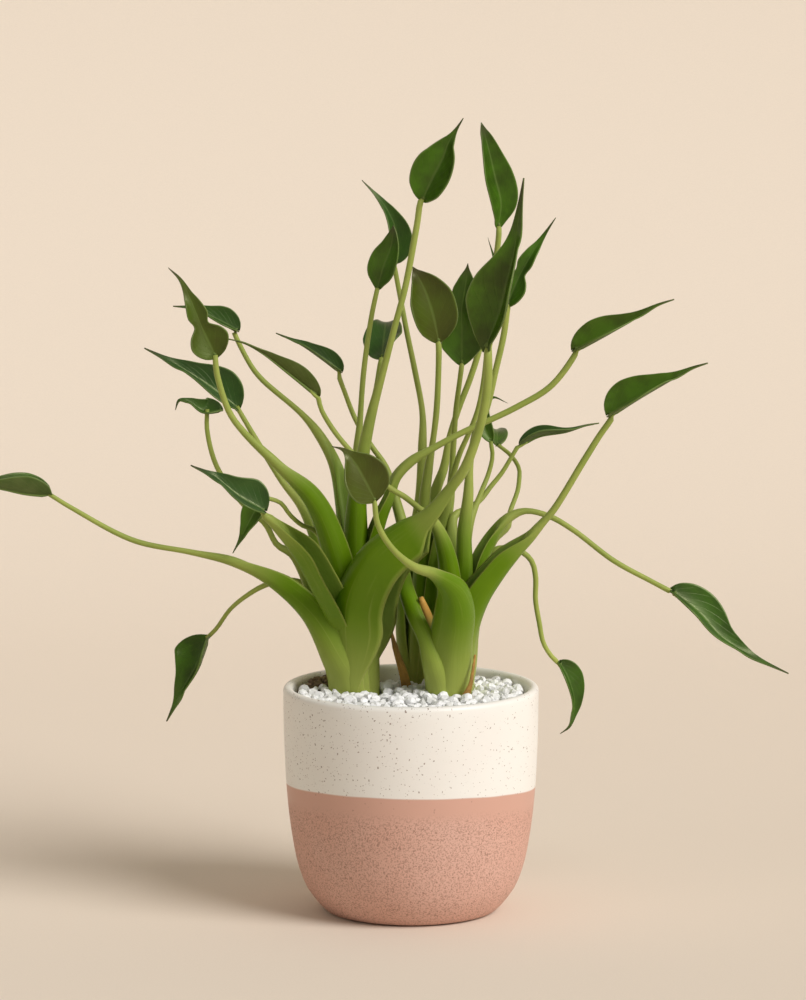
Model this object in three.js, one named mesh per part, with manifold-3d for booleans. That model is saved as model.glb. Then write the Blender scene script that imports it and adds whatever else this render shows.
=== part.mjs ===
// A small alocasia with 28 folded leaves, growing as three shoots in a two-tone ceramic pot.
// Millimetres, +Z up. The origin is the middle of the pot's flat foot, and -Y is the front.
import * as THREE from "three";
import { mergeVertices } from "three/addons/utils/BufferGeometryUtils.js";
import Module from "manifold-3d";

const wasm = await Module();
wasm.setup();

// Driving dimensions of the pot and what fills it
const POT_HEIGHT = 116;
const POT_RADIUS = 65;
const POT_WALL = 5;
const POT_FLOOR = 6;
const LIP_RADIUS = 2.5;
const FOOT_RADIUS = 40;
const POT_SIDES = 30;
const MIX_TOP = 105;
const GRAVEL_TOP = 109.5;
const CHIP_SIZE = 9;
const CLEAR = 0.3;
const POINT_GRID = 0.001;
const PLUG_SIZE = 0.8;

// Driving dimensions of the plant
const BLADE_RIB_THICKNESS = 1.1;
const BLADE_EDGE_THICKNESS = 0.7;
const SHEATH_STARTS = 2.3;
const SHEATH_FULL = 4.8;
const SHEATH_WRAP = 105;
const SHEATH_MARGIN = 0.62;
const WING_STARTS = 112;
const WING_FULL = 150;
const CORM_BOTTOM = 80;
const CORM_TOP = 96;
const HOLE_BOTTOM = 90;
const DRY_THICKNESS = 0.9;
const RING_STEP = 40;
const BLADE_POCKET = 0.4;

const GREEN_STALK = new THREE.MeshStandardMaterial({ color: 0x8a9a3f, roughness: 0.5, metalness: 0 });
const DARK_LEAF = new THREE.MeshStandardMaterial({ color: 0x34512a, roughness: 0.35, metalness: 0 });
const DRY_BROWN = new THREE.MeshStandardMaterial({ color: 0x9a7340, roughness: 0.8, metalness: 0 });
const CREAM_GLAZE = new THREE.MeshStandardMaterial({ color: 0xeadfce, roughness: 0.45, metalness: 0 });
const DARK_MIX = new THREE.MeshStandardMaterial({ color: 0x4a3c30, roughness: 0.95, metalness: 0 });
const WHITE_STONE = new THREE.MeshStandardMaterial({ color: 0xf0eee8, roughness: 0.7, metalness: 0 });

// Each shoot: the axis on which its sheaths are wrapped, the radius of its corm, and the hole
// that its sheaths need where they spread in the stones
const SHOOTS = {
  left: { x: -27, y: 12, radius: 12, hole: { x: -27.5, y: 8, radius: 17.5 } },
  right: { x: 19, y: 13, radius: 11, hole: { x: 19.5, y: 7, radius: 19.5 } },
  back: { x: 6, y: 41, radius: 8.5, hole: { x: 5.5, y: 41, radius: 13 } },
};

// Each leaf: its shoot; the direction that the back of its sheath faces, in degrees from +X;
// how far the wings of a wide open sheath run past its axis;
// its stalk as [x, y, z, radius] from the foot up; and its blade with the rib's points,
// the half width, the fold of each half, and the way that the open face looks.
// A stalk with no blade is a short scale leaf.
const LEAVES = [
  {
    name: "left_blade_1", shoot: "left", faces: 192, wing: 5,
    stalk: [[-27, 9, 98, 13.5], [-31, 4, 122, 12], [-36, 0, 132, 10], [-50, -1, 154, 6.4],
      [-71, -1, 171, 3.9], [-90, -3, 180, 2.6], [-111, -5, 185, 1.5], [-140, -11, 192, 1.4], [-170, -17, 209, 1.2],
      [-182, -20, 217, 1.1]],
    rib: [[-182, -20, 217], [-193, -22, 218], [-206, -25, 221], [-220, -28, 223], [-231, -30, 225]],
    width: 10.5, fold: 62, open: [0, -0.1, 1],
  },
  {
    name: "left_blade_2", shoot: "left", faces: 160,
    stalk: [[-27, 14, 98, 9], [-34, 18, 130, 5.5], [-43, 22, 152, 3.4], [-54, 24, 164, 1.7],
      [-64, 25, 166, 1.5], [-75, 27, 163, 1.4], [-85, 28, 157, 1.2], [-93, 29, 150, 1.1],
      [-100, 30, 140, 1.1], [-105, 30, 135, 1.1]],
    rib: [[-105, 30, 135], [-109, 27, 123], [-118, 26, 108], [-126, 28, 92]],
    width: 14, fold: 42, open: [-0.75, -0.65, 0],
  },
  {
    name: "left_blade_3", shoot: "left", faces: 165,
    stalk: [[-32, 14, 122, 9.5], [-36, 15, 150, 7], [-46, 20, 184, 4.5], [-55, 24, 204, 3],
      [-66, 27, 217, 1.6], [-79, 29, 238, 1.4], [-89, 30, 255, 1.2]],
    rib: [[-89, 30, 255], [-108, 31, 269], [-124, 31, 279], [-136, 32, 285]],
    width: 13, fold: 42, open: [0, -0.62, 0.78],
  },
  {
    name: "left_blade_4", shoot: "left", faces: 205, wing: 3, form: "waisted",
    stalk: [[-27, 10, 98, 13], [-34, 2, 167, 8.5], [-41, -5, 195, 6.5], [-50, -10, 214, 5],
      [-68, -15, 232, 2.7], [-84, -18, 248, 1.7], [-91, -19, 258, 1.6], [-97, -20, 277, 1.5],
      [-98, -20, 287, 1.4]],
    rib: [[-98, -20, 287], [-104, -21, 300], [-110, -22, 315], [-115, -22, 325], [-121, -22, 331]],
    width: 11, fold: 26, open: [0.15, -0.95, 0.2],
  },
  {
    name: "left_blade_5", shoot: "left", faces: 130,
    stalk: [[-28, 16, 122, 9.5], [-31, 20, 182, 6.5], [-34, 27, 207, 5], [-39, 33, 226, 3.6],
      [-48, 37, 241, 2.5], [-56, 40, 250, 1.6], [-77, 43, 268, 1.4], [-83, 44, 276, 1.3],
      [-91, 45, 293, 1.2]],
    rib: [[-89, 45, 293], [-101, 46, 299], [-111, 46, 304], [-122, 47, 305]],
    width: 8, fold: 42, open: [0, -0.6, 0.8],
  },
  {
    name: "left_blade_6", shoot: "left", faces: 175,
    stalk: [[-34, 12, 122, 9.5], [-41, 11, 147, 6], [-47, 10, 157, 4.5], [-52, 9, 168, 3.5],
      [-60, 8, 182, 2.4], [-68, 7, 187, 1.6], [-74, 6, 198, 1.5], [-84, 5, 207, 1.4],
      [-98, 3, 227, 1.3], [-103, 2, 246, 1.2], [-103, 2, 257, 1.1]],
    rib: [[-96, 2, 257], [-104, 2, 256], [-112, 1, 261], [-117, 0, 262], [-119, -1, 257]],
    width: 7, fold: 40, open: [0, -0.6, 0.8],
  },
  {
    name: "left_blade_7", shoot: "left", faces: 150, wing: 7,
    stalk: [[-29, 9, 122, 8.5], [-37, -4, 150, 5.6], [-46, -18, 171, 5.4], [-54, -32, 188, 4.8],
      [-62, -42, 199, 3.6], [-70, -48, 208, 2.5], [-74, -50, 211, 1.5]],
    rib: [[-73, -50, 213], [-85, -51, 220], [-97, -52, 230], [-109, -53, 236]],
    width: 12, fold: 40, open: [0, -0.62, 0.78],
  },
  {
    name: "left_blade_8", shoot: "left", faces: 165,
    stalk: [[-30, 14, 122, 8.5], [-36, 14, 160, 4.5], [-43, 8, 187, 2.3], [-49, 4, 195, 1.3],
      [-55, 0, 198, 1.2], [-61, -5, 204, 1.1], [-66, -9, 211, 1.1], [-75, -14, 214, 1.1]],
    rib: [[-75, -14, 213], [-80, -15, 205], [-85, -15, 195], [-90, -15, 186]],
    width: 6.5, fold: 30, open: [-0.4, -0.85, 0.2],
  },
  {
    name: "left_blade_9", shoot: "left", faces: -90, form: "ovate",
    stalk: [[-27, 12, 98, 11], [-28, 10, 195, 6], [-27, 9, 215, 4.5], [-24, 8, 235, 3.3],
      [-20, 8, 254, 2.6], [-14, 8, 276, 1.8], [-8, 8, 299, 1.6], [-3, 8, 318, 1.6], [3, 8, 350, 1.6],
      [5, 8, 362, 1.5]],
    rib: [[6, 8, 363], [11, 6, 374], [16, 4, 384], [19, 3, 392], [26, 0, 404]],
    width: 12.5, fold: 36, open: [-0.36, -0.93, 0],
  },
  {
    name: "left_blade_10", shoot: "left", faces: 90, form: "lens",
    stalk: [[-27, 15, 122, 8.5], [-28, 17, 208, 4], [-27, 20, 234, 2.6], [-26, 22, 248, 1.6],
      [-24, 25, 274, 1.4], [-20, 27, 302, 1.3], [-17, 28, 316, 1.2]],
    rib: [[-17, 28, 316], [-14, 27, 327], [-10, 26, 338], [-9, 25, 348]],
    width: 8, fold: 28, open: [-0.3, -0.93, 0.1],
  },
  {
    name: "left_blade_11", shoot: "left", faces: 162, wing: 15, form: "wedge",
    stalk: [[-26, 8, 98, 13], [-27, 1, 133, 11.6], [-27, -5, 160, 11.2], [-18, -17, 184, 8.4],
      [-4, -26, 199, 5.2], [4, -30, 205, 3.6], [10, -33, 210, 3.2], [19, -36, 221, 2.9], [26, -39, 231, 2.6], [33, -42, 250, 2.3],
      [36, -44, 262, 2.2], [38, -45, 277, 2.2], [38, -45, 292, 2]],
    rib: [[37, -45, 294], [44, -47, 312], [47, -49, 325], [51, -51, 343], [53, -52, 362],
      [55, -53, 378]],
    width: 18, fold: 45, open: [-0.67, -0.74, 0],
  },
  {
    name: "left_blade_12", shoot: "left", faces: 10,
    stalk: [[-27, 13, 98, 11], [-22, 10, 184, 6.5], [-17, 8, 201, 5], [-12, 7, 212, 4],
      [-8, 6, 222, 3.2], [0, 6, 230, 2.6], [10, 6, 236, 1.8], [25, 7, 244, 1.6], [53, 9, 257, 1.6],
      [71, 10, 268, 1.6], [83, 10, 284, 1.5]],
    rib: [[83, 10, 287], [97, 10, 294], [112, 11, 302], [124, 11, 309], [133, 12, 312]],
    width: 9.5, fold: 42, open: [0, -0.55, 0.83],
  },
  {
    name: "left_blade_13", shoot: "left", faces: 100,
    stalk: [[-27, 18, 122, 8.5], [-28, 25, 185, 4.5], [-27, 32, 211, 3.2], [-25, 40, 231, 2.3],
      [-22, 46, 246, 1.6], [-18, 52, 261, 1.4], [-15, 56, 277, 1.3]],
    rib: [[-15, 57, 278], [-14, 65, 286], [-13, 76, 293], [-12, 90, 291], [-11, 100, 285]],
    width: 11, fold: 16, open: [0, 0.6, 0.8],
  },
  {
    name: "right_blade_1", shoot: "right", faces: -120,
    stalk: [[19, 10, 98, 11], [20, 0, 168, 6], [17, -6, 188, 4.5], [11, -12, 202, 2.8],
      [4, -16, 209, 1.6], [-3, -18, 215, 1.5], [-11, -19, 220, 1.4], [-23, -20, 231, 1.4],
      [-34, -21, 243, 1.3], [-40, -21, 251, 1.3], [-45, -22, 260, 1.2], [-47, -22, 267, 1.2]],
    rib: [[-47, -22, 268], [-61, -23, 279], [-74, -24, 289], [-83, -25, 294], [-91, -26, 296]],
    width: 7, fold: 60, open: [0, 0.2, 1],
  },
  {
    name: "right_blade_2", shoot: "right", faces: -90, form: "ovate",
    stalk: [[19, 10, 98, 12.5], [20, -6, 138, 11.2], [22, -16, 157, 10.2], [20, -27, 171, 7.2],
      [11, -40, 180, 3.6], [2, -49, 184, 2.3], [-7, -56, 192, 1.6], [-13, -59, 200, 1.5],
      [-17, -61, 209, 1.4], [-18, -62, 218, 1.3]],
    rib: [[-18, -62, 220], [-23, -64, 230], [-28, -65, 239], [-33, -66, 245], [-39, -67, 247]],
    width: 12.5, fold: 26, open: [0.35, -0.93, 0],
  },
  {
    name: "right_blade_3", shoot: "right", faces: -60, form: "waisted",
    stalk: [[22, 13, 122, 8.5], [26, 12, 164, 5.5], [27, 11, 177, 4.5], [27, 11, 194, 3.8],
      [29, 11, 211, 2.8], [30, 12, 228, 1.8], [33, 12, 245, 1.7], [38, 12, 255, 1.6],
      [43, 12, 276, 1.6], [47, 12, 294, 1.6], [49, 12, 309, 1.5]],
    rib: [[49, 12, 310], [54, 13, 322], [60, 13, 333], [67, 14, 344], [73, 14, 353]],
    width: 9, fold: 36, open: [-0.3, -0.93, 0.1],
  },
  {
    name: "right_blade_4", shoot: "right", faces: 8, wing: 5,
    stalk: [[19, 12, 98, 12], [23, 6, 139, 10.5], [32, 1, 160, 7.5], [43, -2, 175, 5.4],
      [52, -4, 185, 4], [60, -5, 193, 3], [67, -6, 201, 2], [72, -7, 207, 1.8], [87, -8, 232, 1.7],
      [95, -8, 245, 1.6], [101, -8, 254, 1.5]],
    rib: [[100, -8, 256], [115, -8, 265], [129, -9, 273], [140, -9, 279], [149, -9, 282]],
    width: 12, fold: 42, open: [0, -0.52, 0.85],
  },
  {
    name: "right_blade_5", shoot: "right", faces: 20,
    stalk: [[20, 14, 98, 11], [32, 17, 172, 6.3], [38, 19, 186, 4.8], [45, 21, 195, 3.4],
      [52, 23, 200, 2.4], [59, 24, 202, 1.6], [71, 25, 199, 1.5], [83, 25, 192, 1.4],
      [104, 25, 176, 1.4], [124, 25, 165, 1.3], [135, 25, 159, 1.3]],
    rib: [[135, 25, 160], [148, 25, 149], [159, 24, 137], [173, 24, 128], [194, 23, 118]],
    width: 12, fold: 36, open: [0.3, -0.6, 0.7],
  },
  {
    name: "right_blade_6", shoot: "right", faces: 30,
    stalk: [[24, 17, 122, 9.5], [31, 20, 163, 5.5], [37, 23, 175, 4], [42, 26, 180, 3],
      [50, 28, 182, 1.8], [57, 29, 180, 1.5], [62, 30, 175, 1.4], [64, 30, 167, 1.4],
      [64, 30, 155, 1.3], [66, 30, 143, 1.3], [68, 30, 133, 1.2], [72, 30, 126, 1.2],
      [76, 30, 122, 1.2]],
    rib: [[77, 30, 122], [81, 30, 114], [84, 30, 104], [84, 30, 96], [82, 30, 89], [77, 30, 85]],
    width: 8, fold: 40, open: [0.6, -0.7, 0.3],
  },
  {
    name: "right_blade_7", shoot: "right", faces: 60,
    stalk: [[25, 18, 122, 7.5], [35, 24, 170, 4], [42, 30, 186, 2.6], [50, 38, 192, 1.6],
      [51, 45, 198, 1.3], [55, 52, 208, 1.2], [56, 57, 213, 1.2], [56, 62, 219, 1.1],
      [52, 66, 225, 1.1], [47, 68, 229, 1], [44, 69, 231, 1]],
    rib: [[45, 69, 231], [45, 80, 236], [44, 94, 235], [43, 106, 230]],
    width: 5.5, fold: 20, open: [0.1, 0.2, 1],
  },
  {
    name: "right_blade_8", shoot: "right", faces: 60,
    stalk: [[22, 18, 122, 7.5], [27, 23, 180, 3.8], [30, 29, 196, 2.6], [34, 34, 205, 1.5],
      [37, 38, 212, 1.3], [40, 42, 219, 1.2], [42, 44, 228, 1.1], [41, 45, 235, 1.1]],
    rib: [[41, 45, 236], [38, 47, 243], [38, 48, 251], [42, 48, 257.5], [50, 48, 254.5]],
    width: 4, fold: 25, open: [0, -0.95, 0.2],
  },
  {
    name: "right_blade_9", shoot: "right", faces: 70,
    stalk: [[19, 18, 122, 7.5], [20, 22, 165, 4.5], [21, 27, 186, 3.2], [22, 31, 198, 2.3],
      [27, 34, 201, 1.6], [35, 38, 205, 1.4], [41, 42, 212, 1.3], [47, 45, 219, 1.2],
      [52, 47, 227, 1.1], [56, 48, 233, 1.1]],
    rib: [[57, 48, 234], [66, 49, 238], [80, 50, 240], [90, 51, 243], [97, 52, 244]],
    width: 4.8, fold: 55, open: [0, -0.3, 0.95],
  },
  {
    name: "right_blade_10", shoot: "right", faces: 215,
    stalk: [[17, 3, 98, 9], [15, -2, 115, 7.6], [11.5, -9.5, 130, 6.2], [8, -9, 142, 5],
      [2, -4, 154, 4.8], [-2, 5, 164, 4.4], [-4, 14, 174, 3.8], [-3, 20, 188, 3.4], [-8, 26, 208, 2.6], [-13, 31, 224, 1.6],
      [-20, 33, 234, 1.4], [-28, 35, 247, 1.3], [-34, 36, 262, 1.2], [-37, 36, 271, 1.2]],
    rib: [[-36, 36, 273], [-46, 37, 280], [-57, 38, 287], [-69, 39, 292]],
    width: 6, fold: 45, open: [0, -0.5, 0.87],
  },
  {
    shoot: "right", faces: -110,
    stalk: [[16, 8, 98, 9], [12, -1, 135, 4.5], [8, -4, 153, 2.5], [5, -5, 162, 1.2]],
  },
  {
    name: "back_blade_1", shoot: "back", faces: 150,
    stalk: [[5, 41, 98, 9], [-1, 42, 140, 7], [-1, 45, 165, 5.5], [3, 49, 190, 3.6],
      [5, 52, 206, 2.8], [6, 57, 232, 2.3], [6, 60, 248, 1.6], [2, 64, 270, 1.5],
      [-2, 67, 289, 1.4], [-6, 69, 310, 1.3], [-9, 70, 325, 1.2]],
    rib: [[-9, 70, 326], [-7, 70, 336], [-9, 69, 346], [-15, 68, 357], [-25, 66, 368]],
    width: 8, fold: 34, open: [0.45, -0.85, 0.2],
  },
  {
    name: "back_blade_2", shoot: "back", faces: -90, form: "broad",
    stalk: [[6, 39, 122, 8.5], [7, 36, 180, 5], [7, 32, 206, 3], [9, 30, 223, 2.3],
      [11, 28, 236, 1.6], [13, 25, 253, 1.6], [14, 22, 275, 1.5], [14, 20, 288, 1.5]],
    rib: [[14, 20, 290], [11, 18, 304], [7, 17, 316], [1, 15, 328]],
    width: 13, fold: 28, open: [0.3, -0.95, 0],
  },
  {
    name: "back_blade_3", shoot: "back", faces: 0, form: "double",
    stalk: [[9, 39, 122, 8.5], [15, 38, 180, 4.5], [20, 37, 208, 2.6], [21, 37, 221, 1.6],
      [22, 36, 237, 1.5], [23, 36, 252, 1.4], [25, 35, 268, 1.3], [26, 35, 276, 1.3]],
    rib: [[26, 35, 277], [26, 35, 292], [26, 34, 305], [28, 34, 318], [29, 33, 328]],
    width: 11, fold: 20, open: [0, -1, 0.1],
  },
  {
    name: "back_blade_4", shoot: "back", faces: 40, form: "lens",
    stalk: [[7, 42, 122, 9.5], [8, 43, 180, 5], [11, 45, 204, 3.2], [14, 46, 213, 2.7],
      [17, 47, 221, 2.3], [20, 48, 237, 1.7], [25, 48, 253, 1.6], [30, 48, 266, 1.6],
      [35, 48, 282, 1.6], [40, 48, 308, 1.5], [44, 48, 332, 1.5], [45, 48, 345, 1.4]],
    rib: [[45, 48, 346], [46, 48, 358], [43, 47, 371], [40, 46, 384], [36, 45, 399]],
    width: 9.5, fold: 34, open: [0.4, -0.88, 0.1],
  },
  {
    name: "back_blade_5", shoot: "back", faces: -20,
    stalk: [[8, 36, 122, 7.5], [12, 32, 180, 4], [19, 27, 209, 2.5], [22, 25, 222, 1.6],
      [25, 23, 232, 1.4], [29, 23, 241, 1.3], [34, 23, 254, 1.3], [37, 23, 270, 1.2],
      [39, 24, 292, 1.1]],
    rib: [[39, 24, 293], [42, 25, 311], [43, 25, 327], [39, 25, 342]],
    width: 6, fold: 26, open: [0, -1, 0.1],
  },
];

// Half width along the rib, as [share of the length, share of the half width]
const OUTLINES = {
  plain: [[0, 0.16], [0.06, 0.66], [0.16, 0.97], [0.3, 0.92], [0.52, 0.49], [0.74, 0.18], [1, 0.04]],
  wedge: [[0, 0.12], [0.05, 0.38], [0.15, 0.81], [0.27, 1], [0.41, 0.88], [0.65, 0.26], [1, 0.03]],
  ovate: [[0, 0.14], [0.06, 0.5], [0.15, 0.84], [0.32, 1], [0.52, 0.78], [0.74, 0.18], [1, 0.04]],
  broad: [[0, 0.12], [0.07, 0.46], [0.17, 0.8], [0.33, 1], [0.58, 0.97], [0.82, 0.5], [1, 0.05]],
  lens: [[0, 0.12], [0.08, 0.4], [0.18, 0.8], [0.32, 1], [0.52, 0.95], [0.76, 0.52], [1, 0.05]],
  double: [[0, 0.14], [0.08, 0.58], [0.18, 1], [0.33, 0.72], [0.5, 0.3], [0.62, 0.46], [0.73, 0.58],
    [0.87, 0.3], [1, 0.04]],
  waisted: [[0, 0.16], [0.07, 0.72], [0.16, 1], [0.25, 0.8], [0.33, 0.36], [0.44, 0.5],
    [0.56, 0.38], [0.76, 0.14], [1, 0.04]],
};
const BLADE_COLUMNS = [-1, -0.5, 0, 0.5, 1];
const LOBE_LENGTH = 0.04;
const LOBE_REACH = 0.3;
const CUP = 22;

const degrees = THREE.MathUtils.degToRad;
const smooth = THREE.MathUtils.smoothstep;
const lerp = THREE.MathUtils.lerp;

// One seeded stream of numbers from 0 to 1
function seeded(seed) {
  let state = seed;
  return () => {
    state = (state + 0x6d2b79f5) | 0;
    let t = Math.imul(state ^ (state >>> 15), 1 | state);
    t = (t + Math.imul(t ^ (t >>> 7), 61 | t)) ^ t;
    return ((t ^ (t >>> 14)) >>> 0) / 4294967296;
  };
}

function solidOf(geometry) {
  const bare = geometry.clone();
  bare.deleteAttribute("normal");
  bare.deleteAttribute("uv");
  const merged = mergeVertices(bare, 1e-4);
  return new wasm.Manifold(new wasm.Mesh({
    numProp: 3,
    vertProperties: merged.attributes.position.array,
    triVerts: new Uint32Array(merged.index.array),
  }));
}

function geometryOf(solid) {
  const mesh = solid.getMesh();
  const geometry = new THREE.BufferGeometry();
  geometry.setAttribute("position", new THREE.BufferAttribute(mesh.vertProperties, 3));
  geometry.setIndex(new THREE.BufferAttribute(mesh.triVerts, 1));
  return geometry;
}

// The largest body's outer skin, so scraps and sealed hollows are left out
function mainBody(solid) {
  const bodies = solid.decompose();
  return bodies.reduce((best, body) => (body.volume() > best.volume() ? body : best));
}

// The triangles of a body with its points on a fine grid, without the slivers that this closes
function gridFaces(solid) {
  const snapped = geometryOf(solid);
  const position = snapped.attributes.position;
  for (let i = 0; i < position.array.length; i++) {
    position.array[i] = Math.round(position.array[i] / POINT_GRID) * POINT_GRID;
  }
  const merged = mergeVertices(snapped, 0.1 * POINT_GRID);
  const index = merged.index.array;
  const kept = new Map();
  for (let i = 0; i < index.length; i += 3) {
    const face = [index[i], index[i + 1], index[i + 2]];
    if (new Set(face).size < 3) continue;
    // Two faces on the same three points close on each other
    const key = [...face].sort((a, b) => a - b).join();
    if (!kept.delete(key)) kept.set(key, face);
  }
  return { vertices: merged.attributes.position, faces: [...kept.values()] };
}

// The edges where two parts of a body only touch, as pairs of points
function pinchedEdges({ vertices, faces }) {
  const uses = new Map();
  for (const face of faces) {
    face.forEach((a, i) => {
      const b = face[(i + 1) % 3];
      const key = a < b ? `${a},${b}` : `${b},${a}`;
      uses.set(key, (uses.get(key) ?? 0) + 1);
    });
  }
  return [...uses]
    .filter(([, count]) => count > 2)
    .map(([key]) => key.split(",").map((k) => new THREE.Vector3().fromBufferAttribute(vertices, +k)));
}

// One body on the grid, with a small plug grown over each edge where it only touches itself
function onGrid(solid) {
  let body = solid;
  for (let turn = 0; turn < 6; turn++) {
    const grid = gridFaces(body);
    body = mainBody(new wasm.Manifold(new wasm.Mesh({
      numProp: 3,
      vertProperties: grid.vertices.array,
      triVerts: new Uint32Array(grid.faces.flat()),
    })));
    const pinches = pinchedEdges(gridFaces(body));
    if (pinches.length === 0) return body;
    for (const [a, b] of pinches) {
      const plug = new THREE.BoxGeometry(PLUG_SIZE, PLUG_SIZE, PLUG_SIZE + a.distanceTo(b));
      const along = b.clone().sub(a).normalize();
      plug.applyQuaternion(new THREE.Quaternion().setFromUnitVectors(new THREE.Vector3(0, 0, 1), along));
      plug.translate(...a.clone().add(b).multiplyScalar(0.5).toArray());
      body = body.add(solidOf(plug));
    }
  }
  return body;
}

function closedSkin(points, faces) {
  const geometry = new THREE.BufferGeometry().setFromPoints(points);
  geometry.setIndex(faces);
  return geometry;
}

// A closed loft through rings of equally many points, each ring turning left about the way ahead
function loft(rings) {
  const count = rings[0].length;
  const faces = [];
  for (let r = 0; r + 1 < rings.length; r++) {
    for (let i = 0; i < count; i++) {
      const a = r * count + i;
      const b = r * count + ((i + 1) % count);
      faces.push(a, b, b + count, a, b + count, a + count);
    }
  }
  // The two ends are fans about the first point
  const last = (rings.length - 1) * count;
  for (let i = 1; i + 1 < count; i++) {
    faces.push(0, i + 1, i, last, last + i, last + i + 1);
  }
  return closedSkin(rings.flat(), faces);
}

function curveThrough(points) {
  const stations = points.map(([x, y, z]) => new THREE.Vector3(x, y, z));
  return new THREE.CatmullRomCurve3(stations, false, "centripetal");
}

// A stalk's cross section: a round rod where it is thin, an open crescent where it is a sheath
function stalkSection(radius, wing) {
  const sheath = smooth(radius, SHEATH_STARTS, SHEATH_FULL);
  const stretch = 1 - wing / (radius * Math.cos(degrees(SHEATH_WRAP)));
  const wall = Math.min(2.6, Math.max(1.5, 0.34 * radius));
  const rodAngles = [-90, -39, 13, 64, 116, 167, 219];
  const sheathShares = [-1, -0.4, 0.4, 1, SHEATH_MARGIN, 0, -SHEATH_MARGIN];
  return rodAngles.map((angle, i) => {
    const reach = i < 4 ? radius : radius - wall;
    const rod = degrees(angle);
    const shell = degrees(sheathShares[i] * SHEATH_WRAP);
    const depth = reach * Math.cos(shell);
    return new THREE.Vector2(
      lerp(radius * Math.sin(rod), reach * Math.sin(shell), sheath),
      lerp(radius * Math.cos(rod), depth < 0 ? depth * stretch : depth, sheath),
    );
  });
}

function stalkSolid({ stalk, faces, wing = 0 }) {
  const path = curveThrough(stalk);
  const spans = stalk.length - 1;
  const across = new THREE.Vector3(-Math.sin(degrees(faces)), Math.cos(degrees(faces)), 0);
  const rings = [];
  for (let i = 0; i <= spans; i++) {
    const here = stalk[i];
    const next = stalk[Math.min(i + 1, spans)];
    const length = Math.hypot(next[0] - here[0], next[1] - here[1], next[2] - here[2]);
    const steps = i === spans ? 1 : Math.max(1, Math.round(length / RING_STEP));
    for (let step = 0; step < steps; step++) {
      const share = step / steps;
      const t = Math.min(1, (i + share) / spans);
      const radius = lerp(here[3], next[3], share);
      const ahead = path.getTangent(t);
      const side = across.clone().addScaledVector(ahead, -across.dot(ahead)).normalize();
      const outward = side.clone().cross(ahead);
      const centre = path.getPoint(t);
      const spread = wing * smooth(centre.z, WING_STARTS, WING_FULL);
      rings.push(stalkSection(radius, spread).map(({ x, y }) =>
        centre.clone().addScaledVector(side, x).addScaledVector(outward, y)));
    }
  }
  return solidOf(loft(rings));
}

// A folded, cupped blade. Growing it a little makes the pocket that its stalk ends in.
function bladeGeometry({ rib, width, fold, open, form = "plain" }, grow = 0) {
  const path = curveThrough(rib);
  const length = path.getLength();
  const face = new THREE.Vector3(...open);
  const middle = OUTLINES[form].map(([s, breadth]) => {
    const ahead = path.getTangentAt(s);
    const up = face.clone().addScaledVector(ahead, -face.dot(ahead)).normalize();
    const side = ahead.clone().cross(up);
    const half = breadth * width + grow;
    const tail = smooth(breadth, 0.06, 0.4);
    const lobe = LOBE_LENGTH * length * Math.max(0, 1 - s / LOBE_REACH) ** 2;
    const origin = path.getPointAt(s);
    if (s === 0) origin.addScaledVector(ahead, -2.5 * grow);
    return BLADE_COLUMNS.map((u) => {
      const inner = degrees((fold - CUP / 2) * tail);
      const outer = degrees((fold + CUP / 2) * tail);
      const near = Math.min(Math.abs(u), 0.5);
      const far = Math.abs(u) - near;
      const out = half * (near * Math.cos(inner) + far * Math.cos(outer)) * Math.sign(u);
      const rise = half * (near * Math.sin(inner) + far * Math.sin(outer));
      return origin.clone().addScaledVector(side, out).addScaledVector(up, rise)
        .addScaledVector(ahead, -lobe * Math.abs(u) ** 1.5);
    });
  });
  const columns = BLADE_COLUMNS.length;
  const quads = [];
  for (let r = 0; r + 1 < middle.length; r++) {
    for (let c = 0; c + 1 < columns; c++) {
      const a = r * columns + c;
      quads.push([a, a + 1, a + columns + 1, a + columns]);
    }
  }
  // Each point's normal is the mean of the faces round it
  const flat = middle.flat();
  const normals = flat.map(() => new THREE.Vector3());
  for (const quad of quads) {
    const [a, b, c, d] = quad.map((k) => flat[k]);
    const normal = c.clone().sub(a).cross(d.clone().sub(b)).normalize();
    quad.forEach((k) => normals[k].add(normal));
  }
  const points = [];
  for (const way of [1, -1]) {
    flat.forEach((point, k) => {
      const atRib = 1 - Math.abs(BLADE_COLUMNS[k % columns]);
      const thick = lerp(BLADE_EDGE_THICKNESS, BLADE_RIB_THICKNESS, atRib) / 2 + grow;
      points.push(point.clone().addScaledVector(normals[k].normalize(), way * thick));
    });
  }
  const under = flat.length;
  const faces = [];
  for (const [a, b, c, d] of quads) {
    faces.push(a, b, c, a, c, d);
    faces.push(a + under, c + under, b + under, a + under, d + under, c + under);
  }
  const rows = middle.length;
  const border = [];
  for (let c = 0; c < columns - 1; c++) border.push(c);
  for (let r = 0; r < rows - 1; r++) border.push(r * columns + columns - 1);
  for (let c = columns - 1; c > 0; c--) border.push((rows - 1) * columns + c);
  for (let r = rows - 1; r > 0; r--) border.push(r * columns);
  border.forEach((a, i) => {
    const b = border[(i + 1) % border.length];
    faces.push(a, a + under, b + under, a, b + under, b);
  });
  return closedSkin(points, faces);
}

// A lathe turned about the vertical through (x, y), closed on its axis
function turned(profile, sides, x = 0, y = 0) {
  const points = profile.map(([radius, height]) => new THREE.Vector2(radius, height));
  const geometry = new THREE.LatheGeometry(points, sides);
  geometry.rotateX(Math.PI / 2);
  geometry.translate(x, y, 0);
  return solidOf(geometry);
}

// The pot's outside as [radius, height], from the foot's edge to the lip
const OUTSIDE = [
  [FOOT_RADIUS, 0], [47, 4], [53, 12], [57.4, 23], [60.8, 40], [63.3, 62], [64.6, 88],
  [POT_RADIUS, POT_HEIGHT - LIP_RADIUS],
];

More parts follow.
